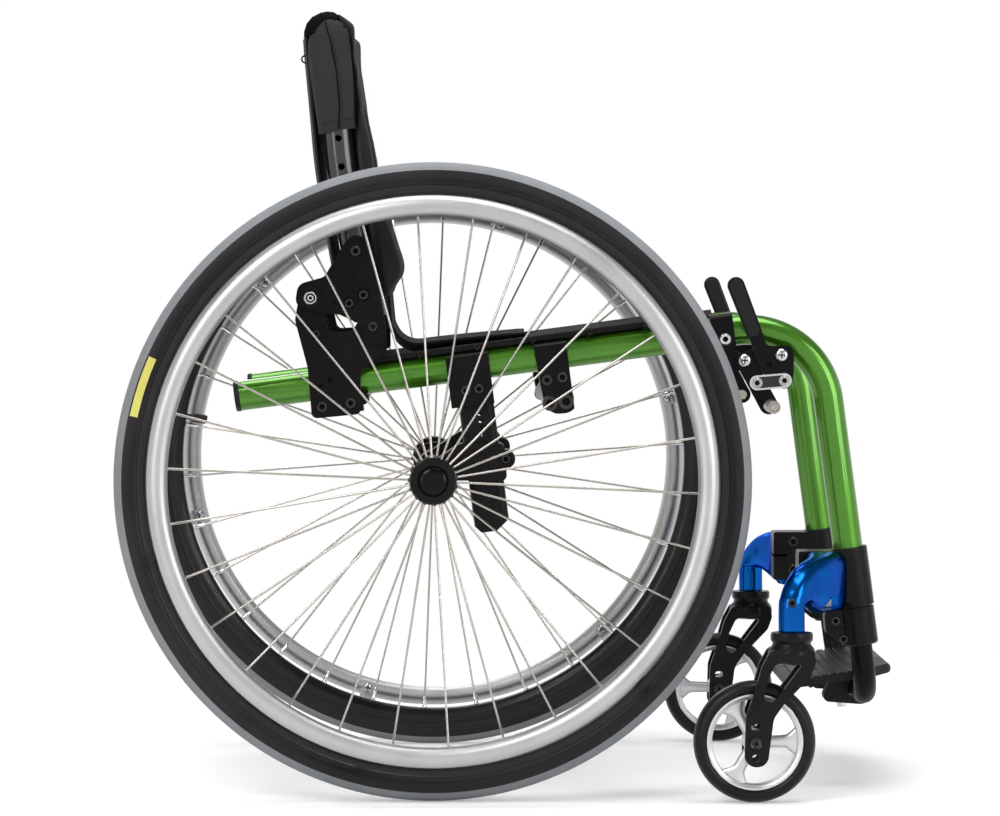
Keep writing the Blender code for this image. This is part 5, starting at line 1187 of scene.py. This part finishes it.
def inflated(solid, voxel, push, cap, held):
    """Cloth swollen by air from a closed form; held says which points stay put."""
    item = placed("pad", mesh_of(solid, "pad"))
    step = item.modifiers.new("voxels", "REMESH")
    step.mode = "VOXEL"
    step.voxel_size = voxel
    item.modifiers.new("even", "SMOOTH").iterations = 4
    item.data = bpy.data.meshes.new_from_object(item.evaluated_get(bpy.context.evaluated_depsgraph_get()))
    item.modifiers.clear()
    vertices = item.data.vertices
    start = [v.co.copy() for v in vertices]
    last = 20
    item.vertex_groups.new(name="held").add([v.index for v in vertices if held(v)], 1.0, "REPLACE")
    step = item.modifiers.new("cloth", "CLOTH")
    step.settings.quality = 4
    step.settings.use_pressure = True
    step.settings.uniform_pressure_force = push
    step.settings.vertex_group_mass = "held"
    step.settings.effector_weights.gravity = 0
    step.point_cache.frame_start = 1
    step.point_cache.frame_end = last
    for number in range(1, last + 1):
        bpy.context.scene.frame_set(number)
    swollen = item.evaluated_get(bpy.context.evaluated_depsgraph_get()).data
    ends = [v.co.copy() for v in swollen.vertices]
    item.modifiers.clear()
    bpy.context.scene.frame_set(1)
    for vertex, a, b in zip(vertices, start, ends):
        vertex.co = a + (b - a) * min(1, cap / max((b - a).length, 1e-9))
    item.modifiers.new("finer", "SUBSURF").levels = 1
    result = bmesh.new()
    result.from_object(item, bpy.context.evaluated_depsgraph_get())
    bpy.data.objects.remove(item)
    return result


def back_dip(t):
    """How far the back sinks between its canes."""
    return 0.018 * (1 - min(1, abs(t) / 0.96) ** 2)


def add_back_pad():
    rings = []
    for z in spaced(0.4655, 0.7375, 28):
        front, rear = between(PAD_FRONT, z), between(PAD_REAR, z)
        slant = 0.0125 * grown(z, 0.69, 0.0475) ** 2
        ahead_line, behind_line = [], []
        for t in spaced(-1, 1, 32):
            corner = 0.004 * grown(abs(t), 0.95, 0.05) ** 2
            low = slant + 0.0045 * grown(abs(t), 0.88, 0.12) * grown(z, 0.7, 0.0375)
            ahead_line.append(back_point(z - low, front - back_dip(t) - corner, PAD_HALF * t))
            behind_line.append(back_point(z, rear - back_dip(t) + 0.4 * corner, PAD_HALF * t))
        rings.append(ahead_line + behind_line[::-1])

    def fixed(vertex):
        return vertex.normal.dot(BACK_AWAY) < -0.5 or abs(vertex.co.y) > 0.135 or vertex.co.z > 0.724
    pad = inflated(loft(rings), 0.0036, 4.0, 0.005, fixed)

    def seam(y, z):
        """How deep the sewn lines press in at a place on the front."""
        wide = 0.006
        depth = 0.0034 * max(0, 1 - abs(abs(y) - SEAM_Y) / wide) ** 2
        if abs(y) < SEAM_Y:
            for level in SEAM_LEVELS:
                depth = max(depth, 0.0026 * max(0, 1 - abs(z - level) / wide) ** 2)
        return depth
    pad.normal_update()
    for vertex in pad.verts:
        if vertex.normal.dot(BACK_AWAY) > 0.35:
            vertex.co -= BACK_AWAY * seam(vertex.co.y, vertex.co.z)
    surface = BVHTree.FromBMesh(pad)

    def sewn(places):
        hits = [surface.ray_cast(back_point(z, 0.09, y), -BACK_AWAY)[0] for y, z in places]
        return stitches([hit for hit in hits if hit], BACK_AWAY)
    rows = [[(side * SEAM_Y + shift, z) for z in spaced(0.476, 0.726, 50)]
            for side in SIDES for shift in (-0.0035, 0.0035)]
    rows += [[(y, level - 0.006) for y in spaced(-0.108, 0.108, 50)] for level in SEAM_LEVELS]
    add("back_pad_stitches", joined([sewn(row) for row in rows]), THREAD, body="back")
    piece = add("back_pad", pad, FABRIC, ["back_upholstery"], "back", smooth=180)


def drawn_in(z):
    """How much of its width the cover of a cane keeps near its closed top."""
    return 0.45 + 0.55 * between(CLOSING, z) ** 0.5


def gusset():
    """The cover round one cane, from the pad's side seam to behind the cane."""
    outer = tenths(195, 1330, 205, 1480, 203, 1560, 190, 1602, 130, 1620, 60, 1630, -20, 1630, -90, 1616,
                   -142, 1578, -176, 1520, -188, 1440, -180, 1370, -150, 1322)
    inner = arc((0, RAIL_Y), 0.0151, radians(222), radians(-20), 14)
    rings = []
    for k, z in enumerate(spaced(0.6275, 0.7345, 40)):
        close = between(CLOSING, z)
        wavy = 1 + 0.012 * sin(k * 0.4) * (k > 2)
        hem = max(0, 1 - (z - 0.6275) / 0.045)
        high = min(1, grown(z, 0.635, 0.055))
        ring = []
        for ahead, y in outer:
            reach = ahead * (1 + 0.22 * high if ahead < 0 else 1) * close
            reach -= 0.003 * hem if ahead > 0 else 0
            ring.append(back_point(z, reach, min(0.164, RAIL_Y + (y - RAIL_Y) * wavy * drawn_in(z))))
        shrink = (close if z > 0.717 else 1) * 0.98
        ring += [back_point(z, ahead * shrink, RAIL_Y + (y - RAIL_Y) * shrink) for ahead, y in inner]
        rings.append(ring)
    return loft(rings)


def add_cane_covers():
    for piece in add_pair("cane_cover", gusset(), PANEL, body="back", smooth=60):
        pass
    line = tenths(6280, 15, 6550, 42, 6840, 40, 7050, 18, 7300, -20)
    seam = [back_point(z, between(line, z), RAIL_Y + 0.0181 * drawn_in(z))
            for z in spaced(0.629, 0.731, 30)]
    sewn = stitches([p + BACK_AWAY * 0.0022 + ACROSS * 0.0001 for p in seam], ACROSS, 0.004, 0.0028)
    hem = [back_point(0.6365, ahead, RAIL_Y + (y - RAIL_Y) * 1.006 + 0.0001) for ahead, y in
           tenths(164, 1604, 130, 1622, 60, 1632, -20, 1632, -90, 1618, -142, 1580)]
    outs = [ACROSS + BACK_AWAY * a for a in (0.6, 0.2, 0.1, -0.1, -0.5, -0.9)]
    add_pair("cane_cover_seam", swept(seam, 0.0006, sides=8), TRIM, body="back")
    add_pair("cane_cover_stitches", joined([sewn, stitches(hem, outs, 0.004, 0.0028)]), THREAD, body="back")
    line = tenths(6280, 180, 6720, 204, 7050, 200, 7245, 145)
    front = [back_point(z, between(line, z), PAD_HALF) for z in spaced(0.628, 0.724, 20)]
    add_pair("cane_cover_piping", swept(front, 0.001, sides=8), TRIM, body="back")


def add_rear_panel():
    rows = []
    for k, z in enumerate(spaced(0.472, 0.725, 30)):
        tucked = grown(z, 0.715, 0.01)
        row = []
        for t in spaced(-1, 1, 40):
            edge = 0.0012 * grown(abs(t), 0.9, 0.1)
            ripple = 0.0008 * sin(9 * t + 0.6 * k) * (1 - abs(t)) * (1 - tucked)
            behind = 0.0238 - 0.0016 * tucked - edge + (0.1 + 0.1 * tucked) * back_dip(t) + ripple
            row.append(back_point(z, -behind, 0.15 * t))
        rows.append(row)
    rear = add("rear_panel", cloth(rows, 0.0022, 0.0016), FABRIC, body="back", smooth=70)
    lines = [stitches([back_point(0.476 + 0.0049 * k, -0.0252, side * 0.14) for k in range(51)], -BACK_AWAY)
             for side in SIDES]
    thread = add("rear_panel_stitches", joined(lines), THREAD, body="back")

    section = tenths(-238, 7215, -232, 7265, -203, 7332, -145, 7385, -60, 7412, 10, 7412, 68, 7394,
                     118, 7348, 106, 7334, 56, 7366, 8, 7376, -50, 7366, -115, 7345, -165, 7305,
                     -195, 7260, -212, 7215)
    middle = 0.733
    rings = []
    for t in spaced(-1, 1, 40):
        inset = 1 - 0.35 * grown(abs(t), 0.94, 0.06) ** 2
        dip = 0.2 * back_dip(t)
        drop = 0.0035 * grown(abs(t), 0.9, 0.1) ** 2
        rings.append([back_point(middle + (z - middle) * inset - drop - 0.15 * dip,
                                 ahead * inset - dip, 0.1585 * t) for ahead, z in section])
    band = add("top_band", loft(rings), TRIM, body="back", smooth=60)
    ring = turned([(0.0034 + 0.0008 * cos(a), 0.0008 * sin(a)) for a in angles(10)],
                  facing(ACROSS, back_point(0.7, -0.0248, -0.145)), 28, closed=True)
    add("rear_loop", ring, TRIM, body="back")


def sling_height(y):
    """How far the sling sinks between the rails."""
    return 0.01 * (1 - min(1, abs(y) / 0.1307) ** 2)


def across_line(x, level, half):
    """A row of stitches from side to side on the seat."""
    return stitches([rail_point(x, level - sling_height(half * t), half * t) for t in spaced(-1, 1, 24)],
                    RAIL_UP)


def add_seat():
    rise = 0.0171
    top = rise + 0.0026
    rows = []
    for x in spaced(-0.06, 0.26, 44):
        row = []
        for y in [0.156 * t for t in spaced(-1, 1, 52)]:
            wrinkle = 0.0005 * sin(38 * x + 21 * y) * sin(17 * y) * (abs(y) < 0.128)
            row.append(rail_point(x, rise - sling_height(y) + wrinkle, y))
        rows.append(row)
    lines = [stitches([rail_point(-0.056 + 0.0624 * k, top, side * y) for k in range(6)], RAIL_UP)
             for side in SIDES for y in (0.133, 0.149)]
    lines += [across_line(x, top, 0.15) for x in (-0.0555, 0.244, 0.2555)]
    outline = shape(-22, -27, 12, 22, -27, 12, 22, 30, 12, -22, 30, 12, steps=4)
    strips = [loft([[rail_point(-0.06 + 0.04 * k, rise + v, side * 0.1556 + u) for u, v in outline]
                    for k in range(9)]) for side in SIDES]
    # The seat cloth and its binding take the fabric darkened as painted shade.
    piece = add("seat_cloth", cloth(rows, 0.0046, 0.0012, 1), SHADED_SEAT_FABRIC, ["seat_sling"], smooth=70)
    thread = add("seat_stitches", joined(lines), THREAD)
    edge = add("seat_edge_binding", joined(strips), SHADED_SEAT_FABRIC, smooth=60)
    spots = [rail_point(-0.0097 + 0.0535 * k, rise - 0.0006, 0.1572) for k in range(6)]
    screws = joined([screw(facing((0, 0.88, 0.47), spot), 0.003, 0.0018, "hex", 0.004) for spot in spots])
    add_pair("seat_screws", screws, OXIDE)
    add_flap(rise + 0.003 + 0.0035)


def add_flap(level):
    """The flap of the upholstery, which turns forward from the back and lies on the seat."""
    bend = rounded([(-0.04, 0.48, 0), (*flat(rail_point(-0.0355, level)), 0.024),
                    (*flat(rail_point(0.095, level)), 0)], 14)
    route = []
    for a, b in zip(bend, bend[1:]):
        steps = max(1, int((Vector(b) - Vector(a)).length / 0.006))
        route += [Vector(a).lerp(Vector(b), k / steps) for k in range(steps)]
    route.append(Vector(bend[-1]))
    rows = []
    for i, (x, z) in enumerate(route):
        share = min(1, i / 8)
        row = []
        for y in [0.125 * t for t in spaced(-1, 1, 42)]:
            lift = 0.0008 * sin(31 * x + 2.2) * cos(14 * y) + 0.004 * sin(pi * min(1, i / len(route)))
            level_here = z + lift * share - sling_height(y) * share
            row.append(Vector((x - 0.55 * back_dip(y / PAD_HALF) * (1 - share), y, level_here)))
        rows.append(row)
    lines = [stitches([Vector((x, side * 0.12, z - sling_height(0.12) + 0.0024)) for x, z in route[16:]],
                      RAIL_UP) for side in SIDES]
    lines.append(across_line(0.09, level + 0.0024, 0.118))
    flap = add("back_flap", cloth(rows, 0.0032, 0.001, 1), SHADED_SEAT_FABRIC, ["upholstery_flap"], smooth=70)
    thread = add("back_flap_stitches", joined(lines), THREAD)
    flap.parent = None
    flap.matrix_world = Matrix()
    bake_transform(flap)


# Studio: floor, light and camera

def add_floor():
    plane = bmesh.new()
    bmesh.ops.create_grid(plane, x_segments=1, y_segments=1, size=25)
    floor = placed("floor", mesh_of(plane, "floor"))
    floor.location.z = -0.0002
    material = bpy.data.materials.new("pale floor")
    material.use_nodes = True
    tree = material.node_tree
    tree.nodes.remove(tree.nodes["Principled BSDF"])
    n = Nodes(tree)
    seen = n.seen()
    matt = n.add("ShaderNodeBsdfDiffuse", {"Color": (0.8, 0.8, 0.8, 1)})
    lift = n.add("ShaderNodeEmission", {"Color": (1, 1, 1, 1), "Strength": n.math("MULTIPLY", seen, 0.3)})
    near = n.add("ShaderNodeAddShader", {0: matt.outputs[0], 1: lift.outputs[0]})
    away = n.add("ShaderNodeVectorMath", {0: n.place()}, operation="LENGTH").outputs["Value"]
    far = n.spread(away, 0.55, 1.6, interpolation_type="SMOOTHSTEP")
    white = n.add("ShaderNodeEmission", {"Color": (1, 1, 1, 1), "Strength": 1.0})
    both = n.add("ShaderNodeMixShader", {0: n.math("MULTIPLY", far, seen), 1: near.outputs[0],
                                         2: white.outputs[0]})
    tree.links.new(both.outputs[0], tree.nodes["Material Output"].inputs[0])
    floor.data.materials.append(material)


def add_light():
    world = bpy.data.worlds.new("studio")
    bpy.context.scene.world = world
    world.use_nodes = True
    tree = world.node_tree
    n = Nodes(tree)
    up = n.add("ShaderNodeSeparateXYZ", {0: n.place("Generated")}).outputs[2]
    level = n.math("ADD", 0.4, n.math("MULTIPLY", n.seen(), 0.6))
    strength = n.math("MULTIPLY", level, n.spread(up, 0.22, 0.55, 1.0, 0.3))
    background = tree.nodes["Background"]
    background.inputs["Color"].default_value = (1, 1, 1, 1)
    tree.links.new(strength, background.inputs["Strength"])
    for name, energy, size, tall, spot, target in (
            ("key", 62, 1.6, 1.6, (-1.5, -2.3, 2.5), (0, 0, 0.3)),
            ("top", 46, 2.6, 1.2, (0.1, 0.1, 2.6), (0, 0, 0)),
            ("side", 24, 1.0, 1.8, (2.4, -1.6, 1.3), (0, 0, 0.3)),
            ("rear", 20, 1.4, 1.4, (-0.6, 2.4, 1.8), (0, 0, 0.3)),
            ("left strip", 8, 0.16, 1.1, (-2.1, -2.5, 0.9), (0, 0, 0.4)),
            ("right strip", 9, 0.16, 1.1, (2.2, -2.5, 0.9), (0, 0, 0.4))):
        data = bpy.data.lights.new(name, "AREA")
        data.energy = energy
        data.shape = "RECTANGLE"
        data.size = size
        data.size_y = tall
        lamp = placed(name, data)
        lamp.location = spot
        lamp.rotation_euler = (Vector(target) - Vector(spot)).to_track_quat("-Z", "Y").to_euler()


def add_camera():
    scene = bpy.context.scene
    scene.view_settings.view_transform = "Standard"
    data = bpy.data.cameras.new("camera")
    data.sensor_width = 36
    data.lens = 146.6
    camera = placed("camera", data)
    camera.location = (HX + 0.0065, -4.025, 0.4917)
    aim = Vector((0.01473, 1, -0.0329))
    camera.rotation_euler = aim.to_track_quat("-Z", "Y").to_euler()
    scene.camera = camera


for wheel_side, wheel_word in SIDES.items():
    add_rear_wheel(wheel_side, wheel_word)
add_label()
add_side_frames()
add_axle_support()
add_seat_supports()
add_casters()
add_footrest()
add_wheel_locks()
add_back_brackets()
add_canes()
add_back_pad()
add_cane_covers()
add_rear_panel()
add_seat()
add_floor()
add_light()
add_camera()
